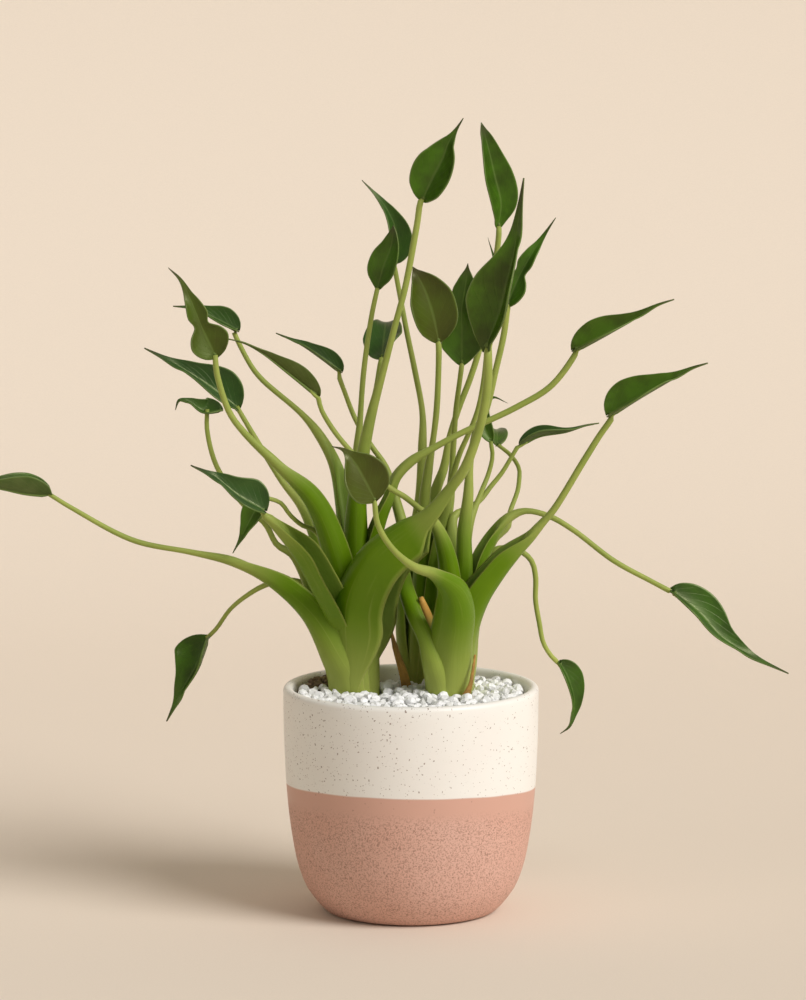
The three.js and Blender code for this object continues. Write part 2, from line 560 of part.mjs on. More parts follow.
function potSolid() {
  const lip = [35, 90, 145].map((angle) => [
    POT_RADIUS - LIP_RADIUS + LIP_RADIUS * Math.cos(degrees(angle)),
    POT_HEIGHT - LIP_RADIUS + LIP_RADIUS * Math.sin(degrees(angle)),
  ]);
  const inside = OUTSIDE.slice(2).reverse().map(([radius, height]) => [radius - POT_WALL, height]);
  return turned(
    [[0, 0], ...OUTSIDE, ...lip, ...inside, [44, POT_FLOOR + 1], [38, POT_FLOOR], [0, POT_FLOOR]],
    POT_SIDES,
  );
}

// The radius that just clears the pot's inside at a height
function roomAt(height) {
  const k = OUTSIDE.findIndex((point) => point[1] >= height);
  const [highRadius, high] = OUTSIDE[k];
  const [lowRadius, low] = OUTSIDE[k - 1];
  return lerp(lowRadius, highRadius, (height - low) / (high - low)) - POT_WALL - 2 * CLEAR;
}

// The corm and the closed young leaves in a shoot's middle
function cormSolid({ x, y, radius }, grow = 0) {
  const foot = radius + grow;
  return turned(
    [[0, CORM_BOTTOM - grow], [0.7 * foot, CORM_BOTTOM - grow], [foot, CORM_BOTTOM + 5],
      [foot, CORM_TOP + grow], [1.02 * radius, 128], [0.6 * radius, 150], [0.3 * radius, 165], [0, 172]],
    12, x, y,
  );
}

// A crumb with flat broken faces
function chip(random, size, x, y, z) {
  const geometry = new THREE.BoxGeometry(size, size * 0.8, size * 0.7);
  const position = geometry.attributes.position;
  const corners = new Map();
  for (let i = 0; i < position.count; i++) {
    const key = [position.getX(i), position.getY(i), position.getZ(i)].map(Math.sign).join();
    if (!corners.has(key)) {
      corners.set(key, [0, 1, 2].map(() => (random() - 0.5) * 0.45 * size));
    }
    const [dx, dy, dz] = corners.get(key);
    position.setXYZ(i, position.getX(i) + dx, position.getY(i) + dy, position.getZ(i) + dz);
  }
  geometry.rotateX(random() * 3);
  geometry.rotateY(random() * 3);
  geometry.rotateZ(random() * 3);
  geometry.translate(x, y, z);
  return solidOf(geometry);
}

// The front edge of the pot's back left part, where no white stones lie, as plan points
const BARE_EDGE = [[-70, 16], [-44, 20], [-20, 27], [-6, 22], [6, 25], [20, 31], [26, 48], [30, 75]];

function bareMixPrism() {
  const plan = [...BARE_EDGE, [-70, 75]];
  const shape = new THREE.Shape(plan.map(([x, y]) => new THREE.Vector2(x, y)));
  const geometry = new THREE.ExtrudeGeometry(shape, { depth: 60, bevelEnabled: false });
  geometry.translate(0, 0, MIX_TOP - 30);
  return solidOf(geometry);
}

function insideBareMix(x, y) {
  const k = BARE_EDGE.findIndex((point) => point[0] >= x);
  if (k < 1) return false;
  const [highX, highY] = BARE_EDGE[k];
  const [lowX, lowY] = BARE_EDGE[k - 1];
  return y > lerp(lowY, highY, (x - lowX) / (highX - lowX));
}

// Old dry sheaths: a thin strip up a path of [x, y, z, width], seen flat from one side
const DRY_SHEATHS = [
  { name: "dry_sheath_middle", faces: [0, -1, 0],
    path: [[-1, 11, 97, 5.5], [-1.5, 10, 108, 5.5], [-3.5, 9, 119, 4.6], [-7.5, 8, 132, 3],
      [-10.5, 7, 144, 1.2]] },
  { name: "dry_sheath_right", faces: [0.5, -0.87, 0],
    path: [[26, -5, 87, 7], [26.5, -6.5, 104, 8], [27.5, -9.5, 114, 6.5], [28.5, -12.3, 121, 3.5],
      [29.5, -13.8, 126, 1.2]] },
];

function drySheathSolid({ path, faces }, grow = 0) {
  const curve = curveThrough(path);
  const face = new THREE.Vector3(...faces).normalize();
  const rings = path.map(([, , , width], i) => {
    const t = i / (path.length - 1);
    const ahead = curve.getTangent(t);
    const side = ahead.clone().cross(face).normalize();
    const out = side.clone().cross(ahead);
    const centre = curve.getPoint(t);
    if (i === 0) centre.addScaledVector(ahead, -grow);
    const half = width / 2 + grow;
    const thick = DRY_THICKNESS / 2 + grow;
    // The margins curl back a little
    return [[-half, 0.8 * thick], [0, thick], [half, 0.8 * thick], [half, -1.2 * thick], [0, -thick],
      [-half, -1.2 * thick]]
      .map(([x, y]) => centre.clone().addScaledVector(side, x).addScaledVector(out, y));
  });
  return solidOf(loft(rings));
}

// Shoots: each one's stalks, sheaths and corm grown together, with a pocket for each blade
const group = new THREE.Group();
function place(name, geometry, material) {
  const mesh = new THREE.Mesh(geometry, material);
  mesh.name = name;
  group.add(mesh);
}

for (const [name, shoot] of Object.entries(SHOOTS)) {
  const leaves = LEAVES.filter((leaf) => leaf.shoot === name);
  let solid = cormSolid(shoot);
  for (const leaf of leaves) solid = solid.add(stalkSolid(leaf));
  for (const leaf of leaves.filter((one) => one.rib)) {
    solid = solid.subtract(solidOf(bladeGeometry(leaf, BLADE_POCKET)));
  }
  place(`${name}_shoot`, geometryOf(onGrid(mainBody(solid))), GREEN_STALK);
}
for (const leaf of LEAVES.filter((one) => one.rib)) {
  place(leaf.name, bladeGeometry(leaf), DARK_LEAF);
}

// The pot, and the mix and the stones with a plain hole for each shoot
place("pot", geometryOf(potSolid()), CREAM_GLAZE);

const MIX_PROFILE_HEIGHTS = [12, 23, 36, 52, 74, MIX_TOP];
function mixSolid() {
  const random = seeded(5);
  const wall = MIX_PROFILE_HEIGHTS.map((height) => [roomAt(height), height]);
  let mix = turned([[0, POT_FLOOR + CLEAR], [40, POT_FLOOR + 3], ...wall, [0, MIX_TOP]], POT_SIDES);
  for (let n = 0; n < 26; n++) {
    const angle = random() * 2 * Math.PI;
    const reach = Math.sqrt(random()) * 50;
    const x = reach * Math.cos(angle);
    const y = reach * Math.sin(angle);
    if (!insideBareMix(x, y - 6)) continue;
    const bark = chip(random, 7 + 3 * random(), x, y, MIX_TOP);
    mix = mix.add(bark.intersect(mouthRoom(MIX_TOP - 12)));
  }
  for (const shoot of Object.values(SHOOTS)) mix = mix.subtract(cormSolid(shoot, CLEAR));
  return mix;
}

// The room inside the pot's mouth, from a height up
function mouthRoom(low) {
  const radius = roomAt(GRAVEL_TOP);
  return turned([[0, low], [roomAt(low), low], [radius, GRAVEL_TOP], [radius, 140], [0, 140]],
    POT_SIDES);
}

function stonesSolid() {
  const random = seeded(11);
  const low = MIX_TOP + CLEAR;
  let stones = turned([[0, low], [roomAt(low), low], [roomAt(GRAVEL_TOP), GRAVEL_TOP],
    [0, GRAVEL_TOP]], POT_SIDES);
  stones = stones.subtract(bareMixPrism());
  const spacing = 1.2 * CHIP_SIZE;
  const reach = roomAt(GRAVEL_TOP) - 0.75 * CHIP_SIZE;
  for (let x = -reach; x <= reach; x += spacing) {
    for (let y = -reach; y <= reach; y += spacing) {
      const px = x + (random() - 0.5) * 3;
      const py = y + (random() - 0.5) * 3;
      if (Math.hypot(px, py) > reach || insideBareMix(px, py + 5)) continue;
      stones = stones.add(chip(random, CHIP_SIZE * (0.85 + 0.3 * random()), px, py, GRAVEL_TOP + 0.5));
    }
  }
  return stones.intersect(mouthRoom(low));
}

// What stands in the pot clears each shoot and, for the stones, the mix and the spread of sheaths
let mix = mixSolid();
let stones = stonesSolid();
for (const dry of DRY_SHEATHS) {
  const pocket = drySheathSolid(dry, CLEAR);
  stones = stones.subtract(pocket);
  mix = mix.subtract(pocket);
  place(dry.name, geometryOf(drySheathSolid(dry)), DRY_BROWN);
}
for (const { hole } of Object.values(SHOOTS)) {
  const room = turned([[0, HOLE_BOTTOM], [hole.radius - 1, HOLE_BOTTOM], [hole.radius, 125], [0, 125]],
    18, hole.x, hole.y);
  stones = stones.subtract(room);
  mix = mix.subtract(room);
}
mix = mainBody(mix);
stones = mainBody(stones.subtract(mix));
place("potting_mix", geometryOf(onGrid(mix)), DARK_MIX);
place("white_stones", geometryOf(onGrid(stones)), WHITE_STONE);

export default group;
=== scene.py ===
"""Looks for a small potted alocasia: folded leaves on arching stalks in a two-tone ceramic pot.

Every length in the tables is in millimetres, in the frame of the CAD model.
"""

import math
import random
from collections import namedtuple

import bmesh
import bpy
from bpy.props import FloatProperty, FloatVectorProperty, IntProperty, PointerProperty
from mathutils import Matrix, Vector, noise


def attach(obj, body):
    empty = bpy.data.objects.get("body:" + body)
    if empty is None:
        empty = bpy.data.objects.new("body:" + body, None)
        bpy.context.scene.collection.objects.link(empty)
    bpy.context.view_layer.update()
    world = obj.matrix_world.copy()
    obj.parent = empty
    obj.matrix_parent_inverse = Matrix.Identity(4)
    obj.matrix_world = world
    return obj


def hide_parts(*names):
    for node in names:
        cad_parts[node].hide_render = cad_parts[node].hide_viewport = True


bl_info = {
    "name": "Potted Alocasia",
    "version": (1, 0, 0),
    "blender": (4, 5, 0),
    "location": "View3D > Sidebar > Alocasia",
    "description": "Builds a potted alocasia around its CAD frame",
    "category": "Add Mesh",
}

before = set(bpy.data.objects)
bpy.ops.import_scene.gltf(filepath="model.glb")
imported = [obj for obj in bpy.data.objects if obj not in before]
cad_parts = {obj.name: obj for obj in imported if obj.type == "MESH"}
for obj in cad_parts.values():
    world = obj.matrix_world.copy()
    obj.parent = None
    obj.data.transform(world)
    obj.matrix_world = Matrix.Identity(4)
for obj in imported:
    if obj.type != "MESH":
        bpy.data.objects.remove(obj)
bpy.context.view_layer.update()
MM = 0.001
ROOT = "root"

# The plant. Each row is a leaf: its name and shoot; the way that the back of its sheath looks, in
# degrees from +X, and how far an open sheath runs past its axis; its stalk as (x, y, z, radius) from
# the foot up; then its blade: outline, tone from 0, olive, to 1, cool green, half width, how far
# each half is folded up, the way that its upper side looks, and its midrib from the stalk on.
Leaf = namedtuple("Leaf", "name shoot faces wing stalk form tone width fold open rib",
                  defaults=("", 0, 0, 0, (), ()))
LEAVES = tuple(Leaf(*row) for row in (
    ("left_blade_1", "left", 192, 5,
     ((-27, 9, 98, 13.5), (-31, 4, 122, 12), (-36, 0, 132, 10), (-50, -1, 154, 6.4),
      (-71, -1, 171, 3.9), (-90, -3, 180, 2.6), (-111, -5, 185, 1.5), (-140, -11, 192, 1.4),
      (-170, -17, 209, 1.2), (-182, -20, 217, 1.1)),
     "plain", 0.7, 10.5, 62, (0, -0.1, 1),
     ((-182, -20, 217), (-193, -22, 218), (-206, -25, 221), (-220, -28, 223), (-231, -30, 225))),
    ("left_blade_2", "left", 160, 0,
     ((-27, 14, 98, 9), (-34, 18, 130, 5.5), (-43, 22, 152, 3.4), (-54, 24, 164, 1.7),
      (-64, 25, 166, 1.5), (-75, 27, 163, 1.4), (-85, 28, 157, 1.2), (-93, 29, 150, 1.1),
      (-100, 30, 140, 1.1), (-105, 30, 135, 1.1)),
     "plain", 0.6, 14, 42, (-0.75, -0.65, 0),
     ((-105, 30, 135), (-109, 27, 123), (-118, 26, 108), (-126, 28, 92))),
    ("left_blade_3", "left", 165, 0,
     ((-32, 14, 122, 9.5), (-36, 15, 150, 7), (-46, 20, 184, 4.5), (-55, 24, 204, 3),
      (-66, 27, 217, 1.6), (-79, 29, 238, 1.4), (-89, 30, 255, 1.2)),
     "plain", 0.95, 13, 42, (0, -0.62, 0.78),
     ((-89, 30, 255), (-108, 31, 269), (-124, 31, 279), (-136, 32, 285))),
    ("left_blade_4", "left", 205, 3,
     ((-27, 10, 98, 13), (-34, 2, 167, 8.5), (-41, -5, 195, 6.5), (-50, -10, 214, 5),
      (-68, -15, 232, 2.7), (-84, -18, 248, 1.7), (-91, -19, 258, 1.6), (-97, -20, 277, 1.5),
      (-98, -20, 287, 1.4)),
     "waisted", 0.15, 11, 26, (0.15, -0.95, 0.2),
     ((-98, -20, 287), (-104, -21, 300), (-110, -22, 315), (-115, -22, 325), (-121, -22, 331))),
    ("left_blade_5", "left", 130, 0,
     ((-28, 16, 122, 9.5), (-31, 20, 182, 6.5), (-34, 27, 207, 5), (-39, 33, 226, 3.6),
      (-48, 37, 241, 2.5), (-56, 40, 250, 1.6), (-77, 43, 268, 1.4), (-83, 44, 276, 1.3),
      (-91, 45, 293, 1.2)),
     "plain", 0.85, 8, 42, (0, -0.6, 0.8),
     ((-89, 45, 293), (-101, 46, 299), (-111, 46, 304), (-122, 47, 305))),
    ("left_blade_6", "left", 175, 0,
     ((-34, 12, 122, 9.5), (-41, 11, 147, 6), (-47, 10, 157, 4.5), (-52, 9, 168, 3.5),
      (-60, 8, 182, 2.4), (-68, 7, 187, 1.6), (-74, 6, 198, 1.5), (-84, 5, 207, 1.4),
      (-98, 3, 227, 1.3), (-103, 2, 246, 1.2), (-103, 2, 257, 1.1)),
     "plain", 0.8, 7, 40, (0, -0.6, 0.8),
     ((-96, 2, 257), (-104, 2, 256), (-112, 1, 261), (-117, 0, 262), (-119, -1, 257))),
    ("left_blade_7", "left", 150, 7,
     ((-29, 9, 122, 8.5), (-37, -4, 150, 5.6), (-46, -18, 171, 5.4), (-54, -32, 188, 4.8),
      (-62, -42, 199, 3.6), (-70, -48, 208, 2.5), (-74, -50, 211, 1.5)),
     "plain", 0.95, 12, 40, (0, -0.62, 0.78),
     ((-73, -50, 213), (-85, -51, 220), (-97, -52, 230), (-109, -53, 236))),
    ("left_blade_8", "left", 165, 0,
     ((-30, 14, 122, 8.5), (-36, 14, 160, 4.5), (-43, 8, 187, 2.3), (-49, 4, 195, 1.3),
      (-55, 0, 198, 1.2), (-61, -5, 204, 1.1), (-66, -9, 211, 1.1), (-75, -14, 214, 1.1)),
     "plain", 0.4, 6.5, 30, (-0.4, -0.85, 0.2),
     ((-75, -14, 213), (-80, -15, 205), (-85, -15, 195), (-90, -15, 186))),
    ("left_blade_9", "left", -90, 0,
     ((-27, 12, 98, 11), (-28, 10, 195, 6), (-27, 9, 215, 4.5), (-24, 8, 235, 3.3), (-20, 8, 254, 2.6),
      (-14, 8, 276, 1.8), (-8, 8, 299, 1.6), (-3, 8, 318, 1.6), (3, 8, 350, 1.6), (5, 8, 362, 1.5)),
     "ovate", 0.5, 12.5, 36, (-0.36, -0.93, 0),
     ((6, 8, 363), (11, 6, 374), (16, 4, 384), (19, 3, 392), (26, 0, 404))),
    ("left_blade_10", "left", 90, 0,
     ((-27, 15, 122, 8.5), (-28, 17, 208, 4), (-27, 20, 234, 2.6), (-26, 22, 248, 1.6),
      (-24, 25, 274, 1.4), (-20, 27, 302, 1.3), (-17, 28, 316, 1.2)),
     "lens", 0.55, 8, 28, (-0.3, -0.93, 0.1),
     ((-17, 28, 316), (-14, 27, 327), (-10, 26, 338), (-9, 25, 348))),
    ("left_blade_11", "left", 162, 15,
     ((-26, 8, 98, 13), (-27, 1, 133, 11.6), (-27, -5, 160, 11.2), (-18, -17, 184, 8.4),
      (-4, -26, 199, 5.2), (4, -30, 205, 3.6), (10, -33, 210, 3.2), (19, -36, 221, 2.9),
      (26, -39, 231, 2.6), (33, -42, 250, 2.3), (36, -44, 262, 2.2), (38, -45, 277, 2.2),
      (38, -45, 292, 2)),
     "wedge", 0.35, 18, 45, (-0.67, -0.74, 0),
     ((37, -45, 294), (44, -47, 312), (47, -49, 325), (51, -51, 343), (53, -52, 362), (55, -53, 378))),
    ("left_blade_12", "left", 10, 0,
     ((-27, 13, 98, 11), (-22, 10, 184, 6.5), (-17, 8, 201, 5), (-12, 7, 212, 4), (-8, 6, 222, 3.2),
      (0, 6, 230, 2.6), (10, 6, 236, 1.8), (25, 7, 244, 1.6), (53, 9, 257, 1.6), (71, 10, 268, 1.6),
      (83, 10, 284, 1.5)),
     "plain", 0.3, 9.5, 42, (0, -0.55, 0.83),
     ((83, 10, 287), (97, 10, 294), (112, 11, 302), (124, 11, 309), (133, 12, 312))),
    ("left_blade_13", "left", 100, 0,
     ((-27, 18, 122, 8.5), (-28, 25, 185, 4.5), (-27, 32, 211, 3.2), (-25, 40, 231, 2.3),
      (-22, 46, 246, 1.6), (-18, 52, 261, 1.4), (-15, 56, 277, 1.3)),
     "plain", 0.9, 11, 16, (0, 0.6, 0.8),
     ((-15, 57, 278), (-14, 65, 286), (-13, 76, 293), (-12, 90, 291), (-11, 100, 285))),
    ("right_blade_1", "right", -120, 0,
     ((19, 10, 98, 11), (20, 0, 168, 6), (17, -6, 188, 4.5), (11, -12, 202, 2.8), (4, -16, 209, 1.6),
      (-3, -18, 215, 1.5), (-11, -19, 220, 1.4), (-23, -20, 231, 1.4), (-34, -21, 243, 1.3),
      (-40, -21, 251, 1.3), (-45, -22, 260, 1.2), (-47, -22, 267, 1.2)),
     "plain", 0.05, 7, 60, (0, 0.2, 1),
     ((-47, -22, 268), (-61, -23, 279), (-74, -24, 289), (-83, -25, 294), (-91, -26, 296))),
    ("right_blade_2", "right", -90, 0,
     ((19, 10, 98, 12.5), (20, -6, 138, 11.2), (22, -16, 157, 10.2), (20, -27, 171, 7.2),
      (11, -40, 180, 3.6), (2, -49, 184, 2.3), (-7, -56, 192, 1.6), (-13, -59, 200, 1.5),
      (-17, -61, 209, 1.4), (-18, -62, 218, 1.3)),
     "ovate", 0, 12.5, 26, (0.35, -0.93, 0),
     ((-18, -62, 220), (-23, -64, 230), (-28, -65, 239), (-33, -66, 245), (-39, -67, 247))),
    ("right_blade_3", "right", -60, 0,
     ((22, 13, 122, 8.5), (26, 12, 164, 5.5), (27, 11, 177, 4.5), (27, 11, 194, 3.8),
      (29, 11, 211, 2.8), (30, 12, 228, 1.8), (33, 12, 245, 1.7), (38, 12, 255, 1.6),
      (43, 12, 276, 1.6), (47, 12, 294, 1.6), (49, 12, 309, 1.5)),
     "waisted", 0.65, 9, 36, (-0.3, -0.93, 0.1),
     ((49, 12, 310), (54, 13, 322), (60, 13, 333), (67, 14, 344), (73, 14, 353))),
    ("right_blade_4", "right", 8, 5,
     ((19, 12, 98, 12), (23, 6, 139, 10.5), (32, 1, 160, 7.5), (43, -2, 175, 5.4), (52, -4, 185, 4),
      (60, -5, 193, 3), (67, -6, 201, 2), (72, -7, 207, 1.8), (87, -8, 232, 1.7), (95, -8, 245, 1.6),
      (101, -8, 254, 1.5)),
     "plain", 0.35, 12, 42, (0, -0.52, 0.85),
     ((100, -8, 256), (115, -8, 265), (129, -9, 273), (140, -9, 279), (149, -9, 282))),
    ("right_blade_5", "right", 20, 0,
     ((20, 14, 98, 11), (32, 17, 172, 6.3), (38, 19, 186, 4.8), (45, 21, 195, 3.4), (52, 23, 200, 2.4),
      (59, 24, 202, 1.6), (71, 25, 199, 1.5), (83, 25, 192, 1.4), (104, 25, 176, 1.4),
      (124, 25, 165, 1.3), (135, 25, 159, 1.3)),
     "plain", 0.75, 12, 36, (0.3, -0.6, 0.7),
     ((135, 25, 160), (148, 25, 149), (159, 24, 137), (173, 24, 128), (194, 23, 118))),
    ("right_blade_6", "right", 30, 0,
     ((24, 17, 122, 9.5), (31, 20, 163, 5.5), (37, 23, 175, 4), (42, 26, 180, 3), (50, 28, 182, 1.8),
      (57, 29, 180, 1.5), (62, 30, 175, 1.4), (64, 30, 167, 1.4), (64, 30, 155, 1.3),
      (66, 30, 143, 1.3), (68, 30, 133, 1.2), (72, 30, 126, 1.2), (76, 30, 122, 1.2)),
     "plain", 0.7, 8, 40, (0.6, -0.7, 0.3),
     ((77, 30, 122), (81, 30, 114), (84, 30, 104), (84, 30, 96), (82, 30, 89), (77, 30, 85))),
    ("right_blade_7", "right", 60, 0,
     ((25, 18, 122, 7.5), (35, 24, 170, 4), (42, 30, 186, 2.6), (50, 38, 192, 1.6), (51, 45, 198, 1.3),
      (55, 52, 208, 1.2), (56, 57, 213, 1.2), (56, 62, 219, 1.1), (52, 66, 225, 1.1), (47, 68, 229, 1),
      (44, 69, 231, 1)),
     "plain", 0.5, 5.5, 20, (0.1, 0.2, 1),
     ((45, 69, 231), (45, 80, 236), (44, 94, 235), (43, 106, 230))),
    ("right_blade_8", "right", 60, 0,
     ((22, 18, 122, 7.5), (27, 23, 180, 3.8), (30, 29, 196, 2.6), (34, 34, 205, 1.5),
      (37, 38, 212, 1.3), (40, 42, 219, 1.2), (42, 44, 228, 1.1), (41, 45, 235, 1.1)),
     "plain", 0.5, 4, 25, (0, -0.95, 0.2),
     ((41, 45, 236), (38, 47, 243), (38, 48, 251), (42, 48, 257.5), (50, 48, 254.5))),
    ("right_blade_9", "right", 70, 0,
     ((19, 18, 122, 7.5), (20, 22, 165, 4.5), (21, 27, 186, 3.2), (22, 31, 198, 2.3),
      (27, 34, 201, 1.6), (35, 38, 205, 1.4), (41, 42, 212, 1.3), (47, 45, 219, 1.2),
      (52, 47, 227, 1.1), (56, 48, 233, 1.1)),
     "plain", 0.85, 4.8, 55, (0, -0.3, 0.95),
     ((57, 48, 234), (66, 49, 238), (80, 50, 240), (90, 51, 243), (97, 52, 244))),
    ("right_blade_10", "right", 215, 0,
     ((17, 3, 98, 9), (15, -2, 115, 7.6), (11.5, -9.5, 130, 6.2), (8, -9, 142, 5), (2, -4, 154, 4.8),
      (-2, 5, 164, 4.4), (-4, 14, 174, 3.8), (-3, 20, 188, 3.4), (-8, 26, 208, 2.6),
      (-13, 31, 224, 1.6), (-20, 33, 234, 1.4), (-28, 35, 247, 1.3), (-34, 36, 262, 1.2),
      (-37, 36, 271, 1.2)),
     "plain", 0.9, 6, 45, (0, -0.5, 0.87),
     ((-36, 36, 273), (-46, 37, 280), (-57, 38, 287), (-69, 39, 292))),
    ("scale_leaf", "right", -110, 0,
     ((16, 8, 98, 9), (12, -1, 135, 4.5), (8, -4, 153, 2.5), (5, -5, 162, 1.2))),
    ("back_blade_1", "back", 150, 0,
     ((5, 41, 98, 9), (-1, 42, 140, 7), (-1, 45, 165, 5.5), (3, 49, 190, 3.6), (5, 52, 206, 2.8),
      (6, 57, 232, 2.3), (6, 60, 248, 1.6), (2, 64, 270, 1.5), (-2, 67, 289, 1.4), (-6, 69, 310, 1.3),
      (-9, 70, 325, 1.2)),
     "plain", 0.85, 8, 34, (0.45, -0.85, 0.2),
     ((-9, 70, 326), (-7, 70, 336), (-9, 69, 346), (-15, 68, 357), (-25, 66, 368))),
    ("back_blade_2", "back", -90, 0,
     ((6, 39, 122, 8.5), (7, 36, 180, 5), (7, 32, 206, 3), (9, 30, 223, 2.3), (11, 28, 236, 1.6),
      (13, 25, 253, 1.6), (14, 22, 275, 1.5), (14, 20, 288, 1.5)),
     "broad", 0.1, 13, 28, (0.3, -0.95, 0),
     ((14, 20, 290), (11, 18, 304), (7, 17, 316), (1, 15, 328))),
    ("back_blade_3", "back", 0, 0,
     ((9, 39, 122, 8.5), (15, 38, 180, 4.5), (20, 37, 208, 2.6), (21, 37, 221, 1.6),
      (22, 36, 237, 1.5), (23, 36, 252, 1.4), (25, 35, 268, 1.3), (26, 35, 276, 1.3)),
     "double", 0.6, 11, 20, (0, -1, 0.1),
     ((26, 35, 277), (26, 35, 292), (26, 34, 305), (28, 34, 318), (29, 33, 328))),
    ("back_blade_4", "back", 40, 0,
     ((7, 42, 122, 9.5), (8, 43, 180, 5), (11, 45, 204, 3.2), (14, 46, 213, 2.7), (17, 47, 221, 2.3),
      (20, 48, 237, 1.7), (25, 48, 253, 1.6), (30, 48, 266, 1.6), (35, 48, 282, 1.6),
      (40, 48, 308, 1.5), (44, 48, 332, 1.5), (45, 48, 345, 1.4)),
     "lens", 0.55, 9.5, 34, (0.4, -0.88, 0.1),
     ((45, 48, 346), (46, 48, 358), (43, 47, 371), (40, 46, 384), (36, 45, 399))),
    ("back_blade_5", "back", -20, 0,
     ((8, 36, 122, 7.5), (12, 32, 180, 4), (19, 27, 209, 2.5), (22, 25, 222, 1.6), (25, 23, 232, 1.4),
      (29, 23, 241, 1.3), (34, 23, 254, 1.3), (37, 23, 270, 1.2), (39, 24, 292, 1.1)),
     "plain", 0.5, 6, 26, (0, -1, 0.1),
     ((39, 24, 293), (42, 25, 311), (43, 25, 327), (39, 25, 342))),
))

# The axis of each shoot, and where an inner sheath's foot is hidden in the outer ones
SHOOT_AXES = {"left": (-27, 12), "right": (19, 13), "back": (6, 41)}
FOOT_TOP = 110.0
FOOT_BOTTOM = 100.0

# Half width along the rib, as (share of the length, share of the half width)
OUTLINES = {
    "plain": ((0, 0.03), (0.012, 0.27), (0.04, 0.52), (0.09, 0.78), (0.16, 0.95), (0.24, 1), (0.36, 0.86),
              (0.52, 0.5), (0.66, 0.26), (0.8, 0.11), (0.92, 0.045), (1, 0.012)),
    "wedge": ((0, 0.03), (0.02, 0.18), (0.06, 0.42), (0.15, 0.81), (0.25, 1), (0.39, 0.9),
              (0.54, 0.52), (0.67, 0.24), (0.82, 0.1), (1, 0.012)),
    "ovate": ((0, 0.03), (0.015, 0.22), (0.06, 0.5), (0.14, 0.83), (0.28, 1), (0.43, 0.95),
              (0.57, 0.7), (0.67, 0.4), (0.75, 0.18), (0.85, 0.07), (1, 0.012)),
    "broad": ((0, 0.03), (0.02, 0.2), (0.07, 0.45), (0.17, 0.8), (0.32, 1), (0.56, 0.97),
              (0.74, 0.68), (0.87, 0.34), (0.94, 0.12), (1, 0.012)),
    "lens": ((0, 0.03), (0.02, 0.16), (0.08, 0.4), (0.18, 0.8), (0.3, 1), (0.5, 0.97),
             (0.7, 0.65), (0.86, 0.34), (0.95, 0.12), (1, 0.012)),
    "double": ((0, 0.03), (0.02, 0.22), (0.08, 0.58), (0.18, 1), (0.3, 0.8), (0.42, 0.48),
               (0.52, 0.28), (0.61, 0.44), (0.71, 0.58), (0.84, 0.36), (0.94, 0.1), (1, 0.012)),
    "waisted": ((0, 0.03), (0.012, 0.27), (0.04, 0.56), (0.1, 0.88), (0.17, 1), (0.25, 0.8),
                (0.33, 0.36), (0.44, 0.5), (0.56, 0.38), (0.68, 0.2), (0.82, 0.09), (1, 0.012)),
}
LOBE_LENGTH = 0.04
LOBE_REACH = 0.3
CUP = 22.0

# Where the stalk changes from a round rod to an open sheath, by its radius
SHEATH_STARTS = 2.3
SHEATH_FULL = 4.8
SHEATH_WRAP = 105.0
# The heights between which the wings of a wide open sheath spread
WING_STARTS = 112.0
WING_FULL = 150.0

# The pot's outside, from the foot's edge to the lip, as (radius, height)
POT_OUTSIDE = ((40, 0), (44, 1.2), (47, 4), (53, 12), (57.4, 23), (60.8, 40), (63.3, 62),
               (64.6, 88), (65, 113.5))
POT_WALL = 5.0
LIP_RADIUS = 2.5
POT_HEIGHT = 116.0
COLOUR_LINE = 65.0

# The mouth of the pot, where the mix and the stones lie
MOUTH_RADIUS = 59.0
MIX_TOP = 105.0
STONES_TOP = 113.2
BARE_EDGE = ((-70, 6), (-52, 7), (-44, 12), (-36, 22), (-20, 27), (-6, 20), (6, 24), (20, 31), (26, 48),
             (30, 75))
HEAP = 8.0
BARK_TRIES = 900
CHIP_CUTS = 7
STONE_SEED = 21
BARK_SEED = 8

# The camera stands where the photograph was taken from
TARGET = (-4.05, 0, 211)
CAMERA_AWAY = 2500.0
CAMERA_RISE = 8.0
PIXEL_AT_TARGET = 0.506
IMAGE_HEIGHT = 1000
SENSOR = 36.0

# The paper sweep, in metres from the pot: how far it lies in front, where it bends up behind
SWEEP_FRONT = 10.0
SWEEP_BEND = 0.8
SWEEP_RADIUS = 0.9
SWEEP_LENGTH = 14.6
SWEEP_WIDTH = 16.0
SWEEP_ROWS = 130
# The lights, in metres, and how wide the key light is in the sky, in degrees
KEY_PLACE = (1.58, -1.2, 1.62)
KEY_TARGET = (0, 0, 0.15)
KEY_COLOUR = (1.0, 0.965, 0.95)
KEY_ANGLE = 33.0
FILL_PLACE = (-1.8, -1.6, 1.0)
FILL_TARGET = (0, 0, 0.2)
FILL_COLOUR = (1.0, 0.98, 0.95)
FILL_SIZE = 0.8
ROOM_COLOUR = (1.0, 0.95, 0.86, 1.0)


def screen_colour(red, green, blue):
    """A colour as a screen shows it, 0 to 255, in Blender's linear numbers."""
    linear = [((c / 255 + 0.055) / 1.055) ** 2.4 if c > 10 else c / 3294.6 for c in (red, green, blue)]
    return (*linear, 1.0)


def colour_property(name, description, red, green, blue):
    """A colour that a user can change, with its alpha."""
    return FloatVectorProperty(
        name=name, description=description, subtype="COLOR", size=4, min=0, max=1,
        default=screen_colour(red, green, blue),
    )


def length_property(name, description, millimetres):
    """A length that a user can change, given here in millimetres."""
    return FloatProperty(
        name=name, description=description, subtype="DISTANCE", unit="LENGTH", min=0,
        default=millimetres * MM,
    )


